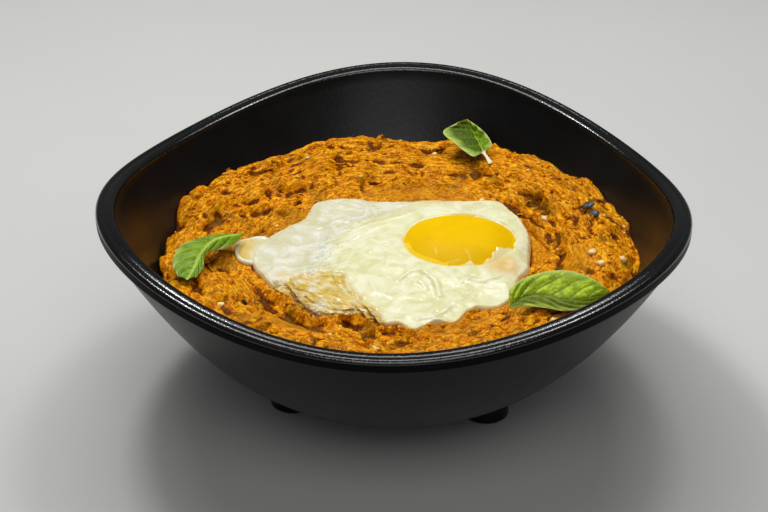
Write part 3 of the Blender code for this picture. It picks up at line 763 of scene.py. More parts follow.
def spoon_depth(x, y):
    """How deep the spoon has drawn the mash down here."""
    radius, angle = np.hypot(x, y), np.arctan2(y, x)
    deepest = np.zeros_like(x)
    for start, end, start_radius, end_radius, depth, half_width in SPOON_MARKS:
        turn = turned_from(angle, (start + end) / 2.0)
        share = np.clip(turn / (end - start) + 0.5, 0.0, 1.0)
        off = radius / MM - (start_radius + (end_radius - start_radius) * share)
        beyond = np.maximum(0.0, np.abs(turn) - abs(end - start) / 2.0)
        drawn = depth * MM * bell(off, 0.0, half_width) * smooth(1.0 - beyond / MARK_FADE)
        deepest = np.maximum(deepest, drawn)
    return deepest


def torn_depth(x, y):
    """Depth of the cracks and the pits."""
    deepest = np.zeros_like(x)
    for depth, half_width, line in CRACKS:
        deepest = np.maximum(deepest, depth * MM * ridge(x, y, line, half_width))
    for x_mm, y_mm, depth, half_width in PITS:
        deepest = np.maximum(deepest, depth * MM * spot(x, y, x_mm, y_mm, half_width))
    return deepest


def smeared(x, y):
    """1 where the spoon pressed the mash smooth, 0 where it is torn and crumbly."""
    radius, angle = np.hypot(x, y), np.arctan2(y, x)
    most = np.zeros_like(x)
    for middle, at_radius, along, across in SMEARS:
        round_by = np.radians(turned_from(angle, middle)) * at_radius / along
        off = (radius / MM - at_radius) / across
        most = np.maximum(most, smooth(1.6 - np.hypot(round_by, off)))
    return most


print(len(SPOON_MARKS), "furrows,", len(CRACKS), "cracks,", len(PITS), "pits,", len(SMEARS), "smears")

# %% [markdown]
# A polar grid gives rings of equal steps where the mash is seen and a few wide ones under the egg.
# The steps are about half a millimetre, which is as fine as the photograph shows, and the whole
# piece stays under 200,000 triangles. In front of the egg the mash was pushed up by its edge, and
# laps a little over it.

# %% The mash's grid
MASH_STEPS = 840
HIDDEN_RINGS = 9
SEEN_RINGS = 108
# The hidden rings end at this share of the way to the wall.
HIDDEN_SHARE = 0.40
# The relief starts just under the egg's edge and has its full height a little outside it.
RELIEF_START = -0.5 * MM
RELIEF_FADE = 4.0 * MM
# Lumps: size and height in mm.
LUMP_SIZES = ((13.0, 1.6), (6.5, 1.0))
LAP_HEIGHT = 2.1 * MM
# How far outside the egg the lap is highest, in mm.
LAP_AT = 0.9
WARP = 1.5 * MM
WARP_SIZE = 5.0 * MM


def covered(x, y):
    """How far a place lies outside the egg and its torn-off lobe, in metres."""
    lobe_x = (x / MM - LOBE_CENTRE[0]) / LOBE_STRETCH[0]
    lobe_y = (y / MM - LOBE_CENTRE[1]) / LOBE_STRETCH[1]
    return np.minimum(outside_egg(x, y), (np.hypot(lobe_x, lobe_y) - LOBE_RADIUS) * MM)


turn = np.linspace(0.0, 2.0 * math.pi, MASH_STEPS, endpoint=False)
hidden = np.linspace(0.0, HIDDEN_SHARE, HIDDEN_RINGS)
shares = np.concatenate([hidden, np.linspace(HIDDEN_SHARE, 1.0, SEEN_RINGS)[1:]])[:, None]
edge = contact_edge(turn)
mash_x, mash_y = shares * edge * np.cos(turn), shares * edge * np.sin(turn)
bare = smooth((covered(mash_x, mash_y) - RELIEF_START) / RELIEF_FADE)
calm = smeared(mash_x, mash_y)
warp_x = mash_x + WARP * bumps(mash_x, mash_y, WARP_SIZE, 21.0)
warp_y = mash_y + WARP * bumps(mash_x, mash_y, WARP_SIZE, 22.0)
uneven = np.clip(0.75 + 0.9 * bumps(mash_x, mash_y, 7.0 * MM, 23.0), 0.2, 1.3)
lumps = sum(h * MM * bumps(mash_x, mash_y, s * MM, s) for s, h in LUMP_SIZES)
drawn_down = np.maximum(spoon_depth(warp_x, warp_y), torn_depth(warp_x, warp_y) * uneven)
mash_z = bed_height(mash_x, mash_y) + (lumps - drawn_down) * bare
for x_mm, y_mm, height, half_width in CREST_BUMPS:
    mash_z = mash_z + height * MM * spot(mash_x, mash_y, x_mm, y_mm, half_width)
in_front = smooth(-0.5 - 2.5 * np.sin(from_yolk(mash_x, mash_y)[1]))
beside_egg = outside_egg(mash_x, mash_y) / MM
lapping = LAP_HEIGHT * in_front * bell(beside_egg, LAP_AT, np.where(beside_egg < LAP_AT, 1.7, 3.4))
mash_z = mash_z + lapping * (1.0 + 0.7 * bumps(mash_x, mash_y, 3.5 * MM, 24.0))
print("a ring step is", round(float((shares[-1, 0] - shares[-2, 0]) * edge.mean() / MM), 2), "mm")

# %% [markdown]
# The paste tore in slabs of several sizes, each with its own height and tilt and a step down to the
# next one, as shingles have. The smallest relief is folded noise, which makes round grains with
# creases between them. The places are bent by noise first, so that no slab keeps a straight side.

# %% Crumbs in relief
# Slabs: size and height in mm, layer, and how steep the steps between them are.
SLABS = ((12.0, 1.6, 3.0, 8.0), (6.0, 1.1, 5.0, 7.0), (3.0, 0.55, 6.0, 5.0), (1.7, 0.26, 7.0, 3.0))
# Grains: size and height in mm, and layer.
GRAINS = ((1.9, 0.14, 12.0), (1.1, 0.17, 11.0))

torn = sum(h * MM * slabs(warp_x, warp_y, s * MM, layer, crack) for s, h, layer, crack in SLABS)
torn += sum(h * MM * (folds(warp_x, warp_y, s * MM, layer) - 0.45) for s, h, layer in GRAINS)
torn += 0.08 * MM * bumps(mash_x, mash_y, 0.75 * MM, 31.0)
drawn = 0.26 * MM * streaks(mash_x, mash_y, 7.0 * MM, 1.1 * MM)
drawn += 0.14 * MM * bumps(mash_x, mash_y, 1.0 * MM, 32.0)
# The heap is rougher here and there, and in front.
rough = 0.78 + 0.6 * bumps(mash_x, mash_y, 14.0 * MM, 41.0) + 0.3 * smooth(-0.5 - mash_y / (50.0 * MM))
detail = (torn * rough * (1.0 - calm) + drawn * (0.35 + 0.65 * calm)) * (0.10 + 0.90 * bare)
# At the wall it only stands out, so that no gap opens there.
at_wall = smooth((1.0 - shares) * edge / (1.5 * MM))
detail = np.where(detail < 0.0, detail * at_wall, detail)
print("crumbs reach from", round(float(detail.min() / MM), 2), "to", round(float(detail.max() / MM), 2), "mm")

# %% [markdown]
# Each point's direction comes from its neighbours on the grid. A number on each point tells the
# material how far it stands above what is around it, and the material paints shade and light by it:
# creases are painted darker and redder, for the shade and the oil that collect there, and tips paler.

# %% The mash's skin
# A point half of this above what is around it is a tip, and one so far below it is in a crease.
RISE_SPAN = 1.3 * MM


def grid_normals(places):
    """Directions of a closed polar grid of places, pointing up."""
    outward = np.gradient(places, axis=0)
    onward = np.roll(places, -1, axis=1) - np.roll(places, 1, axis=1)
    across = np.cross(outward, onward)
    length = np.linalg.norm(across, axis=-1, keepdims=True)
    return across / np.maximum(length, 1e-12)


def blurred(values, rows, columns):
    """Mean over a window of a closed polar grid."""
    total = sum(np.roll(values, i, axis=1) for i in range(-columns, columns + 1)) / (2 * columns + 1)
    padded = np.pad(total, ((rows, rows), (0, 0)), mode="edge")
    return sum(padded[i:i + len(values)] for i in range(2 * rows + 1)) / (2 * rows + 1)


mash_places = np.stack([mash_x, mash_y, mash_z], axis=-1)
mash_places[1:] += grid_normals(mash_places)[1:] * detail[1:, :, None]
above = mash_places[..., 2] - blurred(mash_places[..., 2], 4, 5)
olive = 0.75 * smooth(2.6 * bumps(mash_x, mash_y, 9.0 * MM, 43.0) - 0.35)
for x_mm, y_mm, half_width in OLIVE_ZONES:
    olive = np.maximum(olive, spot(warp_x, warp_y, x_mm, y_mm, half_width))
wide_above = mash_places[..., 2] - blurred(mash_places[..., 2], 9, 12)
rise = 0.5 + above / RISE_SPAN + 0.35 * wide_above / RISE_SPAN
# Painted shadow: a thin darker line in the mash along the egg's back and sides.
rise = np.clip(rise - 0.5 * bell(beside_egg, 0.2, 0.7) * (1.0 - in_front), 0.0, 1.0)
print("rise runs from", round(float(rise.min()), 2), "to", round(float(rise.max()), 2))

# %% [markdown]
# The underside isn't seen, but the mesh is kept as one closed body: a few more rings run down just
# inside the bowl's wall, and a last one closes the floor. The numbers called flow tell the material
# where a point lies on the spoon's way round the bowl. Outwards they are crowded, so that a pattern
# laid out on them comes out as streaks along that way.

# %% The mash as one closed piece
COVERED_SHARES = (0.76, 0.65, 0.5, 0.3, 0.0)
WALL_GAP = 0.4 * MM
FLOW_CIRCLE = 65.0
FLOW_CLIMB = 0.7
FLOW_CROWDING = 2.4

mash_places[..., 1] += AXIS.y
under = []
for share in COVERED_SHARES:
    radius = INNER_RADIUS * share
    reach = max(0.0, radius - WALL_GAP)
    under.append(cornered(reach * np.cos(turn), reach * np.sin(turn), wall_height(radius) + WALL_GAP))
mash_rings = np.concatenate([mash_places, np.array(under)])


def flow_numbers(points):
    """Where points lie along the spoon's way: on a circle round the bowl, and outwards and up."""
    x, y, z = (points / MM).T
    angle = np.arctan2(y - AXIS.y / MM, x)
    outward = np.hypot(x, y - AXIS.y / MM) + FLOW_CLIMB * z
    return {"flow_x": FLOW_CIRCLE * np.cos(angle), "flow_y": FLOW_CIRCLE * np.sin(angle),
            "flow_out": FLOW_CROWDING * outward}


unseen = np.zeros((len(under), MASH_STEPS))
mash_numbers = {key: skin_numbers(np.concatenate([values, unseen]))
                for key, values in (("rise", rise), ("calm", calm), ("olive", olive))}
print("the mash has", mash_rings.shape[0], "rings of", mash_rings.shape[1])

# %% [markdown]
# Aubergine mash is wet, oily vegetable pulp coloured by tomato and turmeric. Light goes a
# millimetre or two into it before it comes back, so the creases glow instead of going grey, and a
# film of oil gives small sharp glints on the crumbs. IOR 1.47 is that of cooking oil, and oil over
# turmeric tints even the reflections. The colour changes from place to place: redder with tomato
# and olive-brown where the aubergine is smeared thin. Painted shade makes the creases darker and
# redder, painted light makes the tips of crumbs paler, and the palest flecks are painted glints.
# Two of its patterns follow the flow numbers, as stirring draws pulp into streaks. Fibres are hair
# lines: the thin lines where a stretched noise crosses its middle value.

# %% Aubergine mash
def hair_lines(material, place, degrees, along, across, half_width, distortion=0.5):
    """Thin lines where a noise, stretched along a direction, crosses its middle value."""
    stretch = {"Vector": place, "Rotation": (0.0, 0.0, math.radians(degrees)),
               "Scale": (along * MM, across * MM, 5.0 * MM)}
    drawn_out = node(material, "Mapping", stretch, vector_type="TEXTURE")
    waves = node(material, "TexNoise", {"Vector": drawn_out.outputs["Vector"], "Scale": 1.0, "Detail": 3.0,
                                        "Distortion": distortion}).outputs["Fac"]
    stops = [(0.5 - half_width, "#000000"), (0.5, "#ffffff"), (0.5 + half_width, "#000000")]
    return waves, node(material, "ValToRGB", {"Fac": waves}, stops).outputs["Color"]


def aubergine_mash():
    material, shader = new_material("aubergine mash")
    place = node(material, "TexCoord").outputs["Object"]
    numbers = {key: node(material, "Attribute", attribute_name=key).outputs["Fac"]
               for key in ("flow_x", "flow_y", "flow_out", "rise", "calm", "olive")}
    flow = node(material, "CombineXYZ", {"X": numbers["flow_x"], "Y": numbers["flow_y"],
                                         "Z": numbers["flow_out"]}).outputs[0]
    patch = node(material, "TexNoise", {"Vector": place, "Scale": per_mm(9.0), "Detail": 3.0})
    swirl = node(material, "TexNoise", {"Vector": flow, "Scale": 1.0 / 6.5, "Detail": 4.0, "Distortion": 1.4})
    fleck = node(material, "TexNoise", {"Vector": flow, "Scale": 1.0 / 2.6, "Detail": 3.0, "Roughness": 0.6,
                                        "Distortion": 0.8})
    body = node(material, "ValToRGB", {"Fac": patch.outputs["Fac"]},
                [(0.32, "#b0660a"), (0.50, "#d08006"), (0.70, "#e89c0c")])
    drawn = node(material, "ValToRGB", {"Fac": swirl.outputs["Fac"]},
                 [(0.30, "#864604"), (0.43, "#be6a04"), (0.56, "#e28a06"), (0.70, "#f2a614")])
    # Speckle: flecks of colour, whose palest stop also paints small glints, as painted highlights.
    speckle_and_glints = node(material, "ValToRGB", {"Fac": fleck.outputs["Fac"]},
                   [(0.37, "#783c00"), (0.46, "#be6802"), (0.54, "#f09604"), (0.60, "#ffcc2c")])
    layers = [(0.5, drawn.outputs["Color"]), (0.68, speckle_and_glints.outputs["Color"])]
    for degrees, strength, shade in ((20.0, 0.60, "#ffc41c"), (-48.0, 0.55, "#5a3002")):
        lines = hair_lines(material, place, degrees, 5.0, 1.3, 0.030, 1.2)[1]
        share = node(material, "Math", {0: lines, 1: strength}, operation="MULTIPLY").outputs[0]
        layers.append((share, linear(shade)))
    colour = body.outputs["Color"]
    for share, shade in layers:
        colour = node(material, "Mix", {0: share, 6: colour, 7: shade}, data_type="RGBA").outputs[2]
    # Painted shade and light: creases darker and redder, tips paler, by how far a point stands out.
    depth = node(material, "ValToRGB", {"Fac": numbers["rise"]},
                 [(0.02, "#6c5020"), (0.12, "#cca464"), (0.30, "#ffffff"), (0.92, "#fff8e0")])
    colour = node(material, "Mix", {0: 1.0, 6: colour, 7: depth.outputs["Color"]},
                  data_type="RGBA", blend_type="MULTIPLY").outputs[2]
    smear = node(material, "MapRange", {0: numbers["calm"], 3: 0.0, 4: 0.45})
    broken = node(material, "MapRange", {0: swirl.outputs["Fac"], 1: 0.60, 2: 0.40, 3: 0.15, 4: 0.85})
    green = node(material, "Math", {0: numbers["olive"], 1: broken.outputs[0]}, operation="MULTIPLY")
    for share, shade in ((smear.outputs[0], "#b47210"), (green.outputs[0], "#704e08")):
        colour = node(material, "Mix", {0: share, 6: colour, 7: linear(shade)}, data_type="RGBA").outputs[2]
    wet = node(material, "MapRange", {0: fleck.outputs["Fac"], 1: 0.35, 2: 0.7, 3: 0.22, 4: 0.46})
    pulp = node(material, "TexNoise", {"Vector": place, "Scale": per_mm(0.8), "Detail": 3.0})
    relief = node(material, "Bump", {"Height": pulp.outputs["Fac"], "Distance": 0.45 * MM, "Strength": 1.0})
    values = {"IOR": 1.47, "Specular IOR Level": 0.20, "Specular Tint": linear("#ffae38"),
              "Subsurface Weight": 0.15, "Subsurface Scale": 1.0 * MM, "Subsurface Radius": (1.0, 0.5, 0.1)}
    links = {"Base_Color": colour, "Roughness": wet.outputs[0], "Normal": relief.outputs[0]}
    finish_shader(material, shader, values, **links)
    return material


mash_material = aubergine_mash()
mash_points, mash_faces = closed_skin(mash_rings)
mash_numbers.update(flow_numbers(mash_points))
mash = add_piece("mash_pile", mash_points, mash_faces, mash_material, "mash", mash_numbers)
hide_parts("mash")

# %% [markdown]
# The crumbs that stand clear of the pile are small meshes of their own: a rough ball with its points
# pushed in and out, set many times with its own size and turn, then joined as one piece. They lie
# where the mash is bare and torn, half sunk along the surface's own direction. Strands of aubergine
# are made in the same way, from a short bent ribbon.

# %% The shapes of crumbs and strands
SEED = 4
CRUMB_SHAPES = 12

chance = np.random.default_rng(SEED)


def rough_ball():
    """A small ball with its points pushed in and out."""
    ball = bmesh.new()
    bmesh.ops.create_icosphere(ball, subdivisions=1, radius=1.0)
    points = np.array([v.co for v in ball.verts])
    faces = [[v.index for v in face.verts] for face in ball.faces]
    ball.free()
    dents = 0.32 * (chance.random((len(points), 1)) - 0.5)
    points *= 1.0 + dents + 0.25 * np.sin(points @ chance.normal(0, 2, (3, 3)))
    return points, faces


def ribbon():
    """A short bent strand, one unit long to each side."""
    along = np.linspace(-1.0, 1.0, 8)
    bend, curl = chance.uniform(-0.8, 0.8), chance.uniform(0.1, 0.45)
    middle = np.stack([along, bend * along ** 2, curl * (0.6 - along ** 2)], axis=-1)
    girth = np.sqrt(np.maximum(0.05, 1.0 - along ** 2))
    turns = np.linspace(0.0, 2.0 * math.pi, 5, endpoint=False)
    ring = np.stack([0.0 * turns, 0.20 * np.cos(turns), 0.13 * np.sin(turns)], axis=-1)
    return closed_skin(middle[:, None] + girth[:, None, None] * ring)


balls = [rough_ball() for _ in range(CRUMB_SHAPES)]
strand_shapes = [ribbon() for _ in range(CRUMB_SHAPES)]
print(len(balls), "crumbs of", len(balls[0][0]), "points,", len(strand_shapes), "strands")

# %% [markdown]
# The weights say how likely each place of the grid is to carry a crumb. Most lie on the torn mash and
# few on the smeared. Tufts stand on the crest at the back, where they break the outline against the
# bowl, and lapping crumbs lie where the mash laps over the front of the egg. The mash's material
# reads the same numbers from them; one that a mesh doesn't carry, such as calm, is 0 to it.

# %% Loose crumbs, strands and tufts
KEEP_OFF_LEAF = 9.0 * MM
KEEP_OFF_EGG = 1.2 * MM
KEEP_OFF_WALL = 1.6 * MM
LAP_OFF_LEAF = 7.0 * MM
# Tufts stand at about this radius, in mm.
TUFT_RADIUS = 77.0


def lying(points, place, up, spin, size, stretch, sunk):
    """A shape's points, stretched and turned so that it lies on the surface at a place."""
    side = np.cross(up, (math.cos(spin), math.sin(spin), 0.0))
    side /= np.linalg.norm(side)
    axes = np.array([side, np.cross(up, side), up]) * np.array(stretch)[:, None]
    return points * size @ axes + place + up * size * sunk


def scattered(shapes, count, weight, sizes, flat, sunk):
    """Many shapes that lie on the mash, as one, with a random number for the points of each."""
    share = (weight / weight.sum()).ravel()
    picks = chance.choice(share.size, count, p=share)
    laid, numbers = [], []
    for place, up in zip(mash_places.reshape(-1, 3)[picks], mash_normals.reshape(-1, 3)[picks]):
        points, faces = shapes[chance.integers(len(shapes))]
        size = chance.uniform(*sizes) * MM
        spin = chance.uniform(0.0, 2.0 * math.pi)
        laid.append((lying(points, place, up, spin, size, (1.0, 1.0, flat), flat * sunk), faces))
        numbers.append(np.full(len(points), chance.random()))
    return *joined(laid), np.concatenate(numbers)


mash_normals = grid_normals(mash_places)
leaf_places = [place for leaf in LEAVES.values() for place in leaf["rib"]]
off_leaf = np.min([np.hypot(mash_x - p[0] * MM, mash_y - p[1] * MM) for p in leaf_places], axis=0)
free = (covered(mash_x, mash_y) > KEEP_OFF_EGG) & (off_leaf > KEEP_OFF_LEAF)
free &= ((1.0 - shares) * edge > KEEP_OFF_WALL) & (shares > HIDDEN_SHARE + 0.02)
torn_weight = free * np.hypot(mash_x, mash_y) * (1.0 - 0.93 * calm) * (0.35 + rise)
crest_weight = torn_weight * bell(np.hypot(mash_x, mash_y) / MM, TUFT_RADIUS, 6.0) * (mash_y > 0.0)
lap_weight = in_front * bell(beside_egg, 0.7, 0.7) * (off_leaf > LAP_OFF_LEAF)
# In the order in which they are drawn: shapes, count, weight, smallest and largest size in mm,
# flatness, how far they stand out, and the least rise and its spread, which set how pale the painted
# light makes them.
LOOSE = {
    "mash_crumbs": (balls, 70, torn_weight, (0.4, 1.1), 0.45, 0.05, (0.35, 0.45)),
    "mash_strands": (strand_shapes, 220, torn_weight, (0.9, 2.2), 1.0, 0.05, (0.40, 0.55)),
    "mash_tufts": (balls[:6] + strand_shapes[:6], 170, crest_weight, (0.5, 1.4), 0.9, 0.1, (0.45, 0.55)),
    "mash_lapping": (balls, 40, lap_weight, (0.4, 1.0), 0.6, 0.2, (0.45, 0.50)),
}
loose = {name: scattered(*how) for name, (*how, _) in LOOSE.items()}
# First what stands on the crest and laps against the egg, then what lies all over the mash.
for name in ("mash_tufts", "mash_lapping", "mash_crumbs", "mash_strands"):
    loose_points, loose_faces, tint = loose[name]
    least, spread = LOOSE[name][-1]
    loose_numbers = {"rise": least + spread * tint, **flow_numbers(loose_points)}
    add_piece(name, loose_points, loose_faces, mash_material, "mash", loose_numbers)

# %% [markdown]
# ## The egg white
# A fried egg has two whites. The thick one round the yolk sets as an opaque, softly lumpy cushion.
# The thin one ran out to the left, set as a smooth skin and let a little mash colour through. At its
# lower edge it met hot fat and frizzled: thin, folded, browned lace. The grid runs from the yolk's
# bare edge out to the white's outline, and heights are added up from these three parts.

# %% Zones and folds of the white
EGG_SEAT = 0.5 * MM
YOLK_RADIUS = 19.5 * MM
YOLK_DOME = 4.6 * MM
YOLK_BEND = 0.03
COLLAR = 5.0 * MM
THIN_WHITE = 1.9 * MM
THICK_WHITE_REACH = 46.0 * MM
# Outlines of the thick white and of the lace, in mm; they run on past the egg's own outline.
THICK_ZONE = (
    (0.0, 24.6), (-10.9, 20.2), (-19.3, 11.7), (-23.5, 0.1), (-24.1, -10.9), (-25.3, -21.6), (-22.8, -31.6),
    (-15.5, -40.9), (-8.0, -48.0), (1.0, -56.0), (40.0, -90.0), (90.0, -40.0), (90.0, 60.0), (20.0, 60.0),
)
LACE_ZONE = (
    (-40.5, -27.5), (-31.7, -21.9), (-24.9, -19.8), (-15.9, -21.1), (-11.2, -32.2), (-4.5, -41.5),
    (3.0, -54.5), (-5.4, -54.0), (-17.9, -54.0), (-26.0, -55.0), (-33.0, -46.0), (-41.0, -32.0),
)
# Folds of the lace: half width in mm, then their places.
LACE_FOLDS = (
    (0.38, ((-18.4, -13.6), (-15.2, -27.9), (-12.1, -33.6), (-8.0, -40.5), (-2.8, -49.1), (1.0, -53.8))),
    (0.42, ((-36.1, -28.5), (-31.3, -36.1), (-27.2, -43.7), (-22.2, -48.4), (-14.6, -49.6), (-5.4, -50.0))),
    (0.32, ((-33.6, -34.3), (-29.3, -40.6), (-24.6, -45.4), (-18.3, -46.7), (-11.5, -46.7), (-4.0, -49.0))),
    (0.28, ((-28.0, -36.0), (-23.0, -41.0), (-17.0, -43.5), (-10.0, -44.0))),
    (0.26, ((-35.0, -26.0), (-31.5, -31.0), (-26.0, -34.0), (-21.0, -38.5), (-14.0, -40.0))),
    (0.26, ((-24.0, -46.8), (-17.0, -48.6), (-10.0, -48.8), (-3.0, -51.5))),
    (0.24, ((-20.0, -22.0), (-17.0, -30.0), (-13.0, -36.5), (-8.5, -44.5), (-4.0, -50.5))),
)
# Soft folds of the thick white: height and half width in mm, then their places.
SOFT_FOLDS = (
    (0.75, 1.1, ((3.8, -25.5), (6.3, -21.8), (9.8, -20.8), (13.4, -23.2), (16.5, -28.3), (18.3, -34.9))),
    (0.50, 0.8, ((5.1, -28.4), (7.4, -26.2), (10.9, -27.2), (13.6, -31.0))),
    (0.75, 1.2, ((8.3, -48.1), (11.8, -49.6), (16.4, -47.9), (20.5, -43.0), (23.6, -38.2))),
    (0.60, 1.0, ((19.2, -49.2), (21.9, -50.2), (23.3, -51.4))),
    (0.40, 0.9, ((-12.0, 4.0), (-6.0, -2.0), (-2.0, -9.0), (-1.0, -16.0))),
    (0.45, 0.8, ((-20.0, -3.0), (-15.0, 3.0), (-9.0, 8.0), (-3.0, 12.0))),
    (0.40, 0.7, ((-17.0, 8.0), (-8.0, 14.0), (0.0, 17.0), (8.0, 22.0))),
    (0.45, 1.0, ((38.0, -22.0), (33.0, -26.0), (28.0, -25.0))),
    (0.50, 1.0, ((2.0, -36.0), (-4.0, -33.0), (-6.0, -27.0))),
)
# Blisters: their places, height and half width in mm.
BUBBLES = ((-30.3, 26.3), (-27.9, 25.7), (-28.7, 22.5), (-27.5, 28.9), (-25.6, 24.1), (-31.5, 23.0),
           (-38.5, -17.2), (-36.6, -14.9), (-34.0, -10.3), (18.1, -42.8), (23.3, -31.5), (25.5, -27.2),
           (28.2, -24.3), (-3.3, -4.0), (-8.1, -7.4))
BUBBLE_HEIGHT = 0.38
BUBBLE_HALF_WIDTH = 0.6


def yolk_reach(angle):
    """Reach of the yolk itself, which the white partly covers."""
    return YOLK_RADIUS * (1.0 + YOLK_BEND * np.cos(2.0 * angle) + YOLK_BEND * np.sin(3.0 * angle) / 2.0)


def dome_height(x, y):
    """Height of the yolk's dome; it runs on downwards outside the yolk."""
    distance, angle = from_yolk(x, y)
    share = distance / yolk_reach(angle)
    return bed_height(x, y) + EGG_SEAT + COLLAR + YOLK_DOME * (0.93 - share ** 3.0)


print("the thick white is bounded by", len(THICK_ZONE), "places and the lace by", len(LACE_ZONE))

# %% [markdown]
# The relief of the white: cushions on the thick part, ripples where it set against the thin part,
# and a crumpled lace whose folds stand up. Where the white laps over the yolk, it lies on the dome
# as a skin a fifth of a millimetre thick.

# %% The white's skin
EGG_STEPS = 760
EGG_ROWS = 116
# The rings have closer steps at this angle, where the lace is.
EGG_FINE_AT = math.radians(240.0)
FILM = 0.22 * MM
THINNEST = 0.25 * MM

egg_turn = np.linspace(0.0, 2.0 * math.pi, EGG_STEPS, endpoint=False)
egg_turn = egg_turn - 0.35 * (np.sin(egg_turn - EGG_FINE_AT) + math.sin(EGG_FINE_AT))
inner = closed_curve(BARE_YOLK, egg_turn)
frill = 0.35 * MM * bumps(np.degrees(egg_turn), 0.0 * egg_turn, 4.0, 51.0)
outer = closed_curve(WHITE_REACH, egg_turn) + frill
egg_share = (np.linspace(0.0, 1.0, EGG_ROWS) ** 0.85)[:, None]
distance = inner + (outer - inner) * egg_share
egg_x = YOLK_CENTRE[0] + distance * np.cos(egg_turn)
egg_y = YOLK_CENTRE[1] + distance * np.sin(egg_turn)
ripple_x = egg_x + 0.8 * MM * bumps(egg_x, egg_y, 4.0 * MM, 52.0)
ripple_y = egg_y + 0.8 * MM * bumps(egg_x, egg_y, 4.0 * MM, 53.0)
thick = zone(ripple_x, ripple_y, THICK_ZONE, 7.0)
lace = zone(ripple_x, ripple_y, LACE_ZONE, 3.0)
yolk_edge = yolk_reach(egg_turn)
beyond_yolk = (distance - yolk_edge) / np.maximum(outer - yolk_edge, MM)
near = 1.0 - smooth((distance - yolk_edge) / (THICK_WHITE_REACH - yolk_edge))
body = THIN_WHITE + (COLLAR - THIN_WHITE) * np.minimum(near, 1.0 - np.clip(beyond_yolk, 0.0, 1.0) ** 2)
rim = np.clip((outer - distance) / (0.6 * MM + 0.8 * MM * thick), 0.0, 1.0)
rounding = np.sqrt(1.0 - (1.0 - rim) ** 2)
print("the thin white is", THIN_WHITE / MM, "mm thick, the collar at the yolk", COLLAR / MM)

# %% [markdown]
# Wrinkles run in one direction because a setting skin shrinks. A noise stretched along a direction
# gives them: one for the whole thin skin, one for the long ripples along the top edge and one for the
# lace. Where steam was caught under the skin, it left blisters about a millimetre wide.

# %% The white's relief
def wrinkles(x, y, degrees, along, across, layer):
    """Noise stretched along a direction of the bed."""
    c, s = math.cos(math.radians(degrees)), math.sin(math.radians(degrees))
    return bumps((x * c + y * s) / along, (y * c - x * s) / across, 1.0, layer)


# Where thick meets thin, the strip along the top edge, a crinkled place and the front part.
boundary = ridge(egg_x, egg_y, THICK_ZONE[1:7], 7.0)
top_strip = smooth((egg_y / MM - 8.0) / 8.0) * smooth((6.0 - egg_x / MM) / 20.0)
crinkled = bell(np.hypot(egg_x / MM - 26.0, (egg_y / MM + 26.0) / 0.7), 0.0, 12.0)
low_part = smooth((-14.0 - egg_y / MM) / 18.0)
cushion = 0.62 * bumps(egg_x, egg_y, 9.5 * MM, 61.0)
cushion = cushion + (0.12 + 0.26 * low_part) * bumps(ripple_x, ripple_y, 4.0 * MM, 62.0)
cushion = cushion + (0.03 + 0.14 * crinkled) * bumps(ripple_x, ripple_y, 1.7 * MM, 63.0)
for height, half_width, line in SOFT_FOLDS:
    cushion = cushion + height * ridge(ripple_x, ripple_y, line, half_width)
skin = 0.34 * bumps(egg_x, egg_y, 9.0 * MM, 64.0) + 0.14 * bumps(ripple_x, ripple_y, 2.6 * MM, 65.0)
skin = skin + 0.24 * wrinkles(ripple_x, ripple_y, 25.0, 9.0 * MM, 1.5 * MM, 66.0)
skin = skin + 0.34 * top_strip * wrinkles(egg_x, egg_y, -12.0, 11.0 * MM, 1.6 * MM, 67.0)
blisters = sum(BUBBLE_HEIGHT * spot(egg_x, egg_y, *place, BUBBLE_HALF_WIDTH) for place in BUBBLES)
crumple = 0.60 * wrinkles(ripple_x, ripple_y, -33.0, 7.0 * MM, 1.7 * MM, 68.0)
fold_line = np.max([ridge(ripple_x, ripple_y, line, half_width) for half_width, line in LACE_FOLDS], axis=0)
crumple = crumple + 0.75 * fold_line
relief = cushion * thick + (skin * (1.0 - 0.7 * thick) + blisters) * (1.0 - lace) + crumple * lace
thickness = (body + (0.55 * thick - 0.9 * lace) * MM) * rounding + relief * MM * np.minimum(1.0, rim * 1.5)
thickness = np.maximum(thickness, THINNEST)
under_z = bed_height(egg_x, egg_y) + EGG_SEAT
egg_z = under_z + thickness
lap = dome_height(egg_x, egg_y) + FILM * smooth((distance - inner) / (1.2 * MM))
egg_z = np.where(distance < yolk_edge + 3.0 * MM, np.maximum(egg_z, lap), egg_z)
egg_z = np.where((distance < yolk_edge * 1.02) & (egg_share < 0.5), lap, egg_z)
print("relief of the white in mm:", round(float(relief.min()), 2), "to", round(float(relief.max()), 2))

# %% [markdown]
# Numbers for the colours. Brown sits on the crests of the lace, on its outer edge and, more faintly,
# in a toasted band inside that, as those were in the hottest fat. Gold is where the white is thin
# enough to let the mash shine through, and peach where oil stained it. The film number goes from the
# yolk's bare edge, where the skin is clear, to where it is opaque.

# %% Browning, gold and film
PEACH_SPOT = (39.4, -14.8)
# Thin golden places: place and half width in mm.
GOLD_SPOTS = ((-46.0, -24.0, 3.2), (-38.0, -23.0, 3.0), (-20.5, -20.0, 2.6), (-8.0, -36.0, 2.4),
              (-2.0, -45.0, 2.0), (-34.0, -25.0, 2.5), (-24.0, -22.5, 2.5))

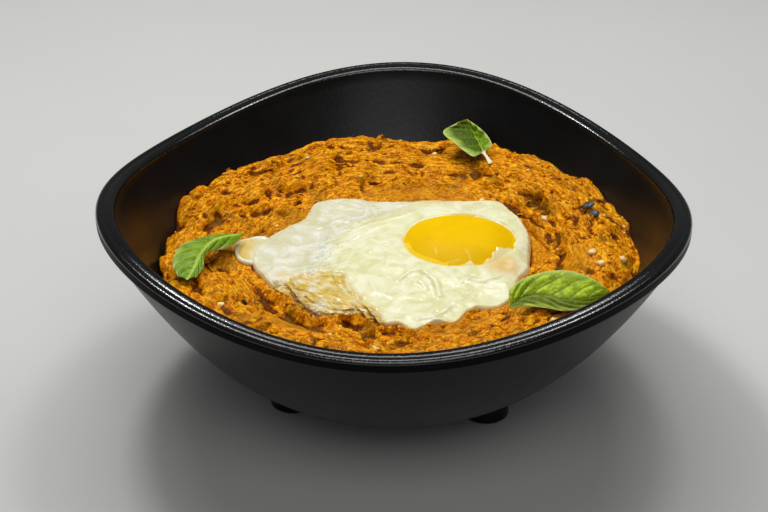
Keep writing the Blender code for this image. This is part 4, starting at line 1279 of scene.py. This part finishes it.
from_rim = (outer - distance) / MM
at_edge = bell(from_rim, 0.35, 0.35) * smooth(0.5 + 1.5 * bumps(ripple_x, ripple_y, 3.0 * MM, 73.0))
low_lace = lace * (0.45 + 0.55 * smooth((10.0 - from_rim) / 7.0))
browned_folds = 1.1 * fold_line * (0.15 + 0.85 * smooth((9.0 - from_rim) / 6.0))
toasted = bell(from_rim, 2.2, 1.8) * smooth(0.4 + 1.5 * bumps(ripple_x, ripple_y, 1.6 * MM, 74.0))
browning = lace * np.clip(browned_folds + 0.8 * at_edge + 0.55 * toasted, 0.0, 1.0)
gold = lace * np.clip(0.70 + 1.2 * bumps(ripple_x, ripple_y, 4.0 * MM, 72.0), 0.0, 1.0)
for place in GOLD_SPOTS:
    gold = np.maximum(gold, 0.55 * spot(ripple_x, ripple_y, *place))
gold = np.maximum(gold, lace * bell(from_rim, 0.0, 4.5))
gold = np.maximum(gold, (1.0 - lace) * (0.25 + 0.30 * low_part) * bell(from_rim, 0.0, 1.3))
lower_right = smooth(1.8 - np.abs(turned_from(egg_turn, 303.0)) / 40.0)
film = smooth((distance - inner) / ((0.35 + 0.8 * lower_right) * MM))
over_yolk = (1.0 - smooth((distance - yolk_edge) / (2.0 * MM) + 0.5)) * lower_right
# The peach spot is an oval that lies at an angle.
spot_x, spot_y = ripple_x / MM - PEACH_SPOT[0], ripple_y / MM - PEACH_SPOT[1]
along_spot, across_spot = (0.76 * spot_x + 0.65 * spot_y) / 6.0, (0.76 * spot_y - 0.65 * spot_x) / 5.0
peach = 0.90 * np.exp(-(along_spot ** 2 + across_spot ** 2) ** 1.5)
print("browned share of the lace:", round(float((browning > 0.5).sum() / (lace > 0.5).sum()), 2))

# %% [markdown]
# Set egg white is a gel full of tiny protein clumps. Light goes some millimetres into it and comes
# back nearly white, so it has hardly any dark side, and its wet skin gives broad soft highlights.
# IOR 1.36 is that of egg white. Its cream colour comes from the yolk and the oil. The coloured layers
# lie over one another in the order of the list, each as far as its number says.

# %% Egg white
def egg_white_material():
    material, shader = new_material("egg white")
    place = node(material, "TexCoord").outputs["Object"]
    numbers = {key: node(material, "Attribute", attribute_name=key).outputs["Fac"]
               for key in ("thick", "gold", "browning", "low_lace", "boundary", "film", "over_yolk", "peach")}
    cloud = node(material, "TexNoise", {"Vector": place, "Scale": per_mm(5.0), "Detail": 3.0})
    swirl = node(material, "TexNoise", {"Vector": place, "Scale": per_mm(9.0), "Detail": 3.0,
                                        "Distortion": 1.2})
    thin = node(material, "ValToRGB", {"Fac": swirl.outputs["Fac"]},
                [(0.36, "#d2cca6"), (0.50, "#dbd8bc"), (0.62, "#e6e5d6")])
    cream = node(material, "ValToRGB", {"Fac": swirl.outputs["Fac"]},
                 [(0.38, "#dcd8a4"), (0.60, "#ecebc8")])
    colour = node(material, "Mix", {0: numbers["thick"], 6: thin.outputs["Color"], 7: cream.outputs["Color"]},
                  data_type="RGBA").outputs[2]
    crumple, brown_lines = hair_lines(material, place, -33.0, 5.0, 1.0, 0.027)
    # Grey lines in the creases where thick meets thin white are painted shade.
    creases, crease_shade_lines = hair_lines(material, place, 42.0, 7.0, 1.2, 0.030)
    # The pale crests of the lace folds are painted highlights.
    lit = node(material, "ValToRGB", {"Fac": crumple}, [(0.56, "#000000"), (0.64, "#ffffff")])
    patterns = ((crease_shade_lines, "boundary"), (lit.outputs["Color"], "low_lace"), (brown_lines, "low_lace"))
    painted_crease_shade, painted_lace_highlight, browned = (
        node(material, "Math", {0: pattern, 1: numbers[where]}, operation="MULTIPLY").outputs[0]
        for pattern, where in patterns)
    layers = ((painted_crease_shade, "#aeb0a6"), (numbers["over_yolk"], "#e8d9a8"), (numbers["gold"], "#d4b242"),
              (painted_lace_highlight, "#f4de9c"), (numbers["peach"], "#e0bc74"), (browned, "#6a3e08"),
              (numbers["browning"], "#703a00"))
    for share, shade in layers:
        colour = node(material, "Mix", {0: share, 6: colour, 7: linear(shade)}, data_type="RGBA").outputs[2]
    colour = node(material, "Mix", {0: numbers["film"], 6: linear("#ecc424"), 7: colour},
                  data_type="RGBA").outputs[2]
    grain = node(material, "TexNoise", {"Vector": place, "Scale": per_mm(1.1), "Detail": 2.0})
    wet = node(material, "MapRange", {0: cloud.outputs["Fac"], 1: 0.35, 2: 0.65, 3: 0.07, 4: 0.32})
    relief = node(material, "Bump", {"Height": grain.outputs["Fac"], "Distance": 0.10 * MM,
                                     "Strength": 0.6}).outputs[0]
    for height, depth, where in ((crumple, 0.9 * MM, "low_lace"), (creases, 0.5 * MM, "boundary")):
        relief = node(material, "Bump", {"Height": height, "Distance": depth, "Strength": numbers[where],
                                         "Normal": relief}).outputs[0]
    values = {"IOR": 1.36, "Subsurface Weight": 0.25, "Subsurface Scale": 1.2 * MM,
              "Subsurface Radius": (1.0, 0.85, 0.5)}
    links = {"Base_Color": colour, "Roughness": wet.outputs[0], "Normal": relief}
    finish_shader(material, shader, values, **links)
    return material


egg_white = egg_white_material()
# The egg's underside uses a few of the top's rows, from the rim inwards.
ROWS_BELOW = [-1, -12, -40, -80, 0]
egg_top = on_axis(egg_x, egg_y, egg_z)
egg_below = on_axis(egg_x, egg_y, under_z - 0.9 * MM)[ROWS_BELOW]
egg_below[0, :, 2] = under_z[-1] - 0.4 * MM
egg_points, egg_faces = closed_skin(np.concatenate([egg_top[:1], egg_top, egg_below, egg_below[-1:]]))
egg_numbers = {"thick": thick, "gold": gold, "browning": browning, "low_lace": low_lace,
               "boundary": boundary * (1.0 - lace), "film": film, "over_yolk": over_yolk, "peach": peach}
for key, values in egg_numbers.items():
    egg_numbers[key] = skin_numbers(np.concatenate([values[:1], values, values[ROWS_BELOW], values[:1]]))
white = add_piece("egg_white_skin", egg_points, egg_faces, egg_white, "egg_white", egg_numbers)
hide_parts("egg_white")

# %% [markdown]
# The lobe at the far left tore loose as the egg slid off the pan: a round scrap of thin white with a
# curled pale rim and a yellow, see-through middle. It tucks under the big skin.

# %% The torn-off lobe
LOBE_STEPS = 96
LOBE_CURL_AT = 0.90

lobe_turn = np.linspace(0.0, 2.0 * math.pi, LOBE_STEPS, endpoint=False)
lobe_reach = LOBE_RADIUS * (1.0 + 0.05 * np.sin(2.0 * lobe_turn + 0.6) + 0.03 * np.sin(5.0 * lobe_turn))
lobe_share = np.linspace(0.0, 1.0, 30)[:, None]
lobe_x = (LOBE_CENTRE[0] + LOBE_STRETCH[0] * lobe_share * lobe_reach * np.cos(lobe_turn)) * MM
lobe_y = (LOBE_CENTRE[1] + LOBE_STRETCH[1] * lobe_share * lobe_reach * np.sin(lobe_turn)) * MM
lobe_bed = bed_height(lobe_x, lobe_y) + EGG_SEAT
curl = bell(lobe_share, LOBE_CURL_AT, 0.07)
lobe_round = np.sqrt(1.0 - np.clip((lobe_share - LOBE_CURL_AT) / 0.10, 0.0, 1.0) ** 2)
dimple = 0.3 * bumps(lobe_x, lobe_y, 3.5 * MM, 81.0)
lobe_z = lobe_bed + (0.5 + 0.45 * curl + dimple * (1.0 - curl)) * MM * np.maximum(lobe_round, 0.15)
lobe_under = on_axis(lobe_x, lobe_y, lobe_bed - 0.8 * MM)[::-10]
lobe_points, lobe_faces = closed_skin(np.concatenate([on_axis(lobe_x, lobe_y, lobe_z), lobe_under]))
paling = smooth((lobe_x / MM - LOBE_CENTRE[0]) / 5.0 + 0.9)
lobe_gold = np.clip(0.85 - 0.75 * curl - 0.68 * paling, 0.0, 1.0)
lobe_numbers = {"gold": skin_numbers(np.concatenate([lobe_gold, lobe_gold[::-10]])),
                "film": np.ones(len(lobe_points))}
add_piece("egg_lobe", lobe_points, lobe_faces, egg_white, "egg_white", lobe_numbers)

# %% [markdown]
# ## The yolk
# The yolk is still soft under a thin skin: an even, deep yellow dome with hardly a highlight. Beta
# carotene takes nearly all the blue from the light that enters it, so its base colour has none. A
# few hair-thin pale folds of the skin show near its lower edge.

# %% The yolk
YOLK_STEPS = 240
YOLK_FOLDS = (
    ((15.0, -9.0), (15.6, -11.5)), ((26.0, -10.0), (27.5, -13.0), (28.0, -16.0)),
    ((18.0, -16.0), (24.0, -14.5)),
)
YOLK_FOLD_HALF_WIDTH = 0.35


def yolk_material():
    material, shader = new_material("egg yolk")
    place = node(material, "TexCoord").outputs["Object"]
    cloud = node(material, "TexNoise", {"Vector": place, "Scale": per_mm(9.0), "Detail": 2.0})
    tone = node(material, "ValToRGB", {"Fac": cloud.outputs["Fac"]}, [(0.3, "#e4b400"), (0.7, "#ebbe00")])
    pale = node(material, "Attribute", attribute_name="pale")
    mixed = node(material, "Mix", {0: pale.outputs["Fac"], 6: tone.outputs["Color"], 7: linear("#efd060")},
                 data_type="RGBA")
    values = {"IOR": 1.42, "Roughness": 0.45, "Specular IOR Level": 0.05, "Subsurface Weight": 0.3,
              "Subsurface Scale": 1.5 * MM, "Subsurface Radius": (1.0, 0.6, 0.05)}
    finish_shader(material, shader, values, Base_Color=mixed.outputs[2])
    return material


yolk_turn = np.linspace(0.0, 2.0 * math.pi, YOLK_STEPS, endpoint=False)
yolk_share = np.linspace(0.0, 1.0, 50)[:, None]
yolk_x = YOLK_CENTRE[0] + yolk_share * yolk_reach(yolk_turn) * np.cos(yolk_turn)
yolk_y = YOLK_CENTRE[1] + yolk_share * yolk_reach(yolk_turn) * np.sin(yolk_turn)
yolk_z = dome_height(yolk_x, yolk_y) + 0.10 * MM * bumps(yolk_x, yolk_y, 7.0 * MM, 91.0)
yolk_under = on_axis(yolk_x, yolk_y, yolk_z.min() - 1.2 * MM)[::-7]
yolk_points, yolk_faces = closed_skin(np.concatenate([on_axis(yolk_x, yolk_y, yolk_z), yolk_under]))
pale = 0.6 * np.max([ridge(yolk_x, yolk_y, line, YOLK_FOLD_HALF_WIDTH) for line in YOLK_FOLDS], axis=0)
yolk_numbers = {"pale": skin_numbers(np.concatenate([pale, 0.0 * pale[::-7]]))}
yolk = add_piece("yolk_dome", yolk_points, yolk_faces, yolk_material(), "egg_yolk", yolk_numbers)
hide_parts("egg_yolk")

# %% [markdown]
# ## The basil leaves
# A basil leaf is a third of a millimetre thick, glossy, and quilted: the tissue between its side
# veins bulges up, and the veins lie in grooves. Each leaf is stretched between its three lines, with
# the quilting added along the leaf's own direction.

# %% A leaf's shape
LEAF_ROWS = 220
LEAF_SIDES = 41
LEAF_THICKNESS = 0.36 * MM
QUILT_HEIGHT = 0.85
RIB_HALF_WIDTH = 0.42
# How much further along the midrib the side veins of the near side start, as a share of its length.
SLIP = 0.04


def through(knots, share):
    """Places on a smooth curve through knots in millimetres."""
    knots = np.array(knots) * MM
    knots = np.vstack([2.0 * knots[0] - knots[1], knots, 2.0 * knots[-1] - knots[-2]])
    when = share * (len(knots) - 3)
    first = np.minimum(when.astype(int), len(knots) - 4)
    t = (when - first)[:, None]
    a, b, c, d = (knots[first + i] for i in range(4))
    bend = (2 * a - 5 * b + 4 * c - d) * t ** 2 + (3 * b - a - 3 * c + d) * t ** 3
    return 0.5 * (2 * b + (c - a) * t + bend)


def both_sides(values):
    """Numbers of a leaf's upper face, given to its lower face too and to the two poles."""
    values = np.broadcast_to(values, (LEAF_ROWS, LEAF_SIDES))
    values = np.concatenate([values, values[:, ::-1]], axis=1)
    return skin_numbers(np.concatenate([values[:1], values, values[-1:]]))


def leaf_skin(leaf):
    """Rings round the leaf from stem to tip, and the numbers of its points. The number run is the
    share of the midrib's length at which a side vein through the point starts."""
    share = np.linspace(0.0, 1.0, LEAF_ROWS)
    far, rib, near = (through(leaf[key], share)[:, None] for key in ("far", "rib", "near"))
    across = np.sin(np.linspace(-0.5, 0.5, LEAF_SIDES) * math.pi)[None, :, None]
    to_edge = np.where(across > 0.0, far - rib, near - rib)
    places = rib + to_edge * np.abs(across)
    ups = np.cross(np.gradient(places, axis=1), np.gradient(places, axis=0))
    ups /= np.maximum(np.linalg.norm(ups, axis=2, keepdims=True), 1e-12)
    ups *= np.sign(ups[..., 2:].mean())
    ups = np.stack([blurred(ups[..., i], 2, 0) for i in range(3)], axis=-1)
    length = np.linalg.norm(np.diff(rib[:, 0], axis=0), axis=1).sum() / MM
    share, side = share[:, None], across[..., 0]
    half = np.linalg.norm(to_edge, axis=2) / MM
    reach = np.abs(side) * half
    nearest = reach * 1.2
    run = share - np.where(side > 0.0, 0.0, SLIP) - leaf["slant"] * (np.abs(side) + 0.25 * side ** 2)
    for start in leaf["veins"]:
        nearest = np.minimum(nearest, np.abs(run - start) * length * 0.72)
    quilt = QUILT_HEIGHT * (1.0 - np.exp(-(nearest / 1.1) ** 2)) * np.minimum(1.0, half / 4.0)
    quilt = quilt * np.where(side < 0.0, leaf["quilt_near"], 1.0)
    flat_x, flat_y = np.broadcast_arrays(share * length * MM, reach * np.sign(side) * MM)
    quilt = quilt + 0.16 * bumps(flat_x, flat_y, 2.0 * MM, leaf["rib"][0][0]) * np.minimum(1.0, half / 4.0)
    edge_near = np.abs(side) ** 9
    midrib = bell(reach, 0.0, RIB_HALF_WIDTH)
    places = places + ups * (quilt * (1.0 - edge_near))[..., None] * MM
    thin = LEAF_THICKNESS * (1.0 - 0.6 * edge_near)[..., None]
    rings = np.concatenate([places + ups * thin / 2.0, (places - ups * thin / 2.0)[:, ::-1]], axis=1)
    numbers = {"midrib": midrib, "run": run, "edge": edge_near, "along": share, "across": side}
    rings = np.concatenate([rings[:1], rings, rings[-1:]])
    return rings, {key: both_sides(values) for key, values in numbers.items()}


print("a leaf is a grid of", LEAF_ROWS, "by", 2 * LEAF_SIDES)

# %% [markdown]
# Chlorophyll takes red and blue out of the light, and the wax on the leaf adds a thin gloss.
# Light from above also comes through; for it the thin edges are painted yellower, as painted light.
# IOR 1.42 is typical of leaf wax. Between the side veins runs a net of finer ones, some 2 mm apart,
# with a small pillow of tissue in each mesh, for which the distance to a voronoi pattern's edges
# serves. The near side of each leaf turns away from the light and is painted darker, as painted
# shade, but not its lit rim, and a stem is nearly white.

# %% Basil
VEIN_SHARE = 0.022
NET_SIZE = 2.2
# Each leaf: its face and its deeper patches, side veins, midrib, its near side in painted shade, the
# share of its length that is stem, and its tip. The right leaf's dark veins and midrib are painted
# shade in their grooves.
LEAF_LOOKS = {
    "basil_leaf_right": ("#b6ce2c", "#7a9210", "#506804", "#5a7208", "#586804", 0.0, "#8b9c10"),
    "basil_leaf_left": ("#7a9a18", "#587c0c", "#86a62c", "#b4cc5c", "#62840c", 0.0, "#6f8f18"),
    "basil_leaf_back": ("#829e20", "#628410", "#567208", "#a8bc50", "#344604", 0.2, "#7d7a1a"),
}


def basil(name, veins, face, deep, vein_shade, rib_shade, near_side_shade, stem, tip):
    material, shader = new_material(name)
    place = node(material, "TexCoord").outputs["Object"]
    numbers = {key: node(material, "Attribute", attribute_name=key).outputs["Fac"]
               for key in ("midrib", "run", "edge", "along", "across")}
    stops = [(start + step, shade) for start in veins
             for step, shade in ((-VEIN_SHARE, "#000000"), (0.0, "#ffffff"), (VEIN_SHARE, "#000000"))]
    vein = node(material, "ValToRGB", {"Fac": numbers["run"]}, stops).outputs["Color"]
    patch = node(material, "TexNoise", {"Vector": place, "Scale": per_mm(3.0), "Detail": 3.0})
    tone = node(material, "ValToRGB", {"Fac": patch.outputs["Fac"]}, [(0.34, deep), (0.60, face)])
    cell = node(material, "TexVoronoi", {"Vector": place, "Scale": per_mm(NET_SIZE)},
                feature="DISTANCE_TO_EDGE").outputs["Distance"]
    net = node(material, "ValToRGB", {"Fac": cell}, [(0.0, "#8c8c8c"), (0.10, "#000000")])
    pillow = node(material, "ValToRGB", {"Fac": cell}, [(0.0, "#000000"), (0.35, "#ffffff")])
    turned = node(material, "MapRange", {0: numbers["across"], 1: 0.0, 2: -0.12, 3: 0.0, 4: 0.85})
    rim_light = node(material, "MapRange", {0: numbers["across"], 1: -0.70, 2: -0.86, 3: 1.0, 4: 0.0})
    shade = node(material, "Math", {0: turned.outputs[0], 1: rim_light.outputs[0]}, operation="MULTIPLY")
    at_tip = node(material, "MapRange", {0: numbers["along"], 1: 0.90, 2: 1.0})
    at_stem = node(material, "MapRange", {0: numbers["along"], 1: stem, 2: stem + 0.05,
                                          3: min(1.0, stem * 10.0), 4: 0.0})
    # Painted shade and light: the near side darkened, the thin edge paled as light coming through, and on the
    # right leaf the dark veins and midrib standing for the shade in their grooves.
    layers = ((shade.outputs[0], near_side_shade), (net.outputs["Color"], vein_shade), (vein, vein_shade),
              (numbers["midrib"], rib_shade), (at_tip.outputs[0], tip), (numbers["edge"], "#b9c670"),
              (at_stem.outputs[0], "#e6d9b8"))
    colour = tone.outputs["Color"]
    for share, tint in layers:
        colour = node(material, "Mix", {0: share, 6: colour, 7: linear(tint)}, data_type="RGBA").outputs[2]
    cells = node(material, "TexNoise", {"Vector": place, "Scale": per_mm(0.7), "Detail": 2.0})
    fine = node(material, "Bump", {"Height": cells.outputs["Fac"], "Distance": 0.08 * MM, "Strength": 0.5})
    relief = node(material, "Bump", {"Height": pillow.outputs["Color"], "Distance": 0.25 * MM,
                                     "Strength": 0.6, "Normal": fine.outputs[0]})
    values = {"IOR": 1.42, "Roughness": 0.36, "Specular IOR Level": 0.16, "Subsurface Weight": 0.15,
              "Subsurface Scale": 0.5 * MM, "Subsurface Radius": (0.5, 1.0, 0.2)}
    finish_shader(material, shader, values, Base_Color=colour, Normal=relief.outputs[0])
    return material


for name, leaf in LEAVES.items():
    rings, leaf_numbers = leaf_skin(leaf)
    leaf_points, leaf_faces = closed_skin(rings + AXIS)
    material = basil(name.replace("basil_leaf_", "basil, ") + " leaf", leaf["veins"], *LEAF_LOOKS[name])
    dressed = add_piece(name + "_blade", leaf_points, leaf_faces, material, "basil", leaf_numbers)
    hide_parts(name)

# %% [markdown]
# ## The bits on top
# Pieces of cooked garlic, flakes of charred aubergine skin, one peppercorn, scraps of scrambled egg
# and many small seeds lie on the mash. Each kind is one piece, with a cloudy colour and a fine
# unevenness. Garlic, egg and seeds are soft and moist, so they let some light in and shine a little.
# Char and pepper let none in: char is dark with a grey bloom, and pepper is dull.

# %% Garlic, char, pepper and seeds
SEED_COUNT = 120
# Each bit: its place and its size in mm, and its turn in degrees.
GARLIC = (
    (70.5, -8.4, 2.4, 10), (73.5, -15.1, 1.9, 60), (80.9, -11.6, 1.7, 100), (-0.7, -72.5, 2.6, 20),
    (-9.2, -68.5, 1.7, 140), (-54.3, -51.5, 1.6, 80), (57.5, -50.4, 1.7, 30), (10.0, 73.8, 1.9, 0),
    (81.7, 25.2, 0.5, 0), (83.0, 20.8, 0.6, 50), (83.6, 17.0, 0.5, 90), (79.7, 20.4, 0.4, 0),
    (-11.2, 36.0, 1.6, 70), (30.2, 40.1, 1.5, 120), (53.7, 23.3, 1.5, 45), (-39.0, 60.0, 1.4, 15),
)
CHAR = ((70.2, 26.0, 2.6, 70), (72.4, 22.4, 2.2, 110), (44.0, 28.0, 0.9, 80))
PEPPER = ((-47.9, -46.6, 1.15, 0),)
EGG_SCRAPS = ((19.9, 35.0, 1.7, 20), (22.4, 37.2, 1.5, 80), (17.4, 33.4, 1.0, 140), (25.2, 33.6, 1.3, 60))


def surface_at(x_mm, y_mm):
    """The nearest place of the mash's skin, and the direction there."""
    away = np.hypot(mash_x / MM - x_mm, mash_y / MM - y_mm)
    nearest = np.unravel_index(np.argmin(away), away.shape)
    return mash_places[nearest], mash_normals[nearest]


def placed(bits, stretch, sunk):
    """Rough balls at given places, as one, each stretched by the same three shares of its size."""
    laid = []
    for i, (x_mm, y_mm, size, degrees) in enumerate(bits):
        points, faces = balls[i % len(balls)]
        bit = lying(points, *surface_at(x_mm, y_mm), math.radians(degrees), size * MM, stretch, sunk)
        laid.append((bit, faces))
    return joined(laid)


def bit_material(name, low, high, roughness, soft, size=1.5):
    material, shader = new_material(name)
    place = node(material, "TexCoord").outputs["Object"]
    cloud = node(material, "TexNoise", {"Vector": place, "Scale": per_mm(size), "Detail": 3.0})
    tone = node(material, "ValToRGB", {"Fac": cloud.outputs["Fac"]}, [(0.35, low), (0.65, high)])
    relief = node(material, "Bump", {"Height": cloud.outputs["Fac"], "Distance": 0.1 * MM, "Strength": 0.5})
    values = {"IOR": 1.45, "Roughness": roughness, "Specular IOR Level": 0.3, "Subsurface Weight": soft,
              "Subsurface Scale": 0.8 * MM, "Subsurface Radius": (1.0, 0.8, 0.4)}
    finish_shader(material, shader, values, Base_Color=tone.outputs["Color"], Normal=relief.outputs[0])
    return material


# Each piece: its bits, their stretch, how far they stand out, and their material.
BITS = {
    "garlic_bits": (GARLIC, (1.1, 0.75, 0.45), 0.2, ("cooked garlic", "#e8bc62", "#ffe8aa", 0.42, 0.2)),
    "char_flakes": (CHAR, (1.3, 0.75, 0.16), 0.30, ("charred skin", "#2c3134", "#6c7478", 0.45, 0.0)),
    "peppercorns": (PEPPER, (1.0, 0.95, 0.8), 0.7, ("black pepper", "#1d1a12", "#3a3522", 0.6, 0.0, 0.6)),
    "egg_scraps": (EGG_SCRAPS, (1.0, 0.7, 0.5), 0.25, ("scrambled egg", "#dc9a10", "#f2bd40", 0.4, 0.3)),
}
for name, (bits, stretch, sunk, look) in BITS.items():
    add_piece(name, *placed(bits, stretch, sunk), bit_material(*look), "mash")
seed_skin = bit_material("aubergine seed", "#e29c20", "#fcd070", 0.38, 0.2)
seeds = scattered(strand_shapes + balls[:3], SEED_COUNT, torn_weight, (0.4, 1.1), 0.5, 0.3)
add_piece("aubergine_seeds", *seeds[:2], seed_skin, "mash")
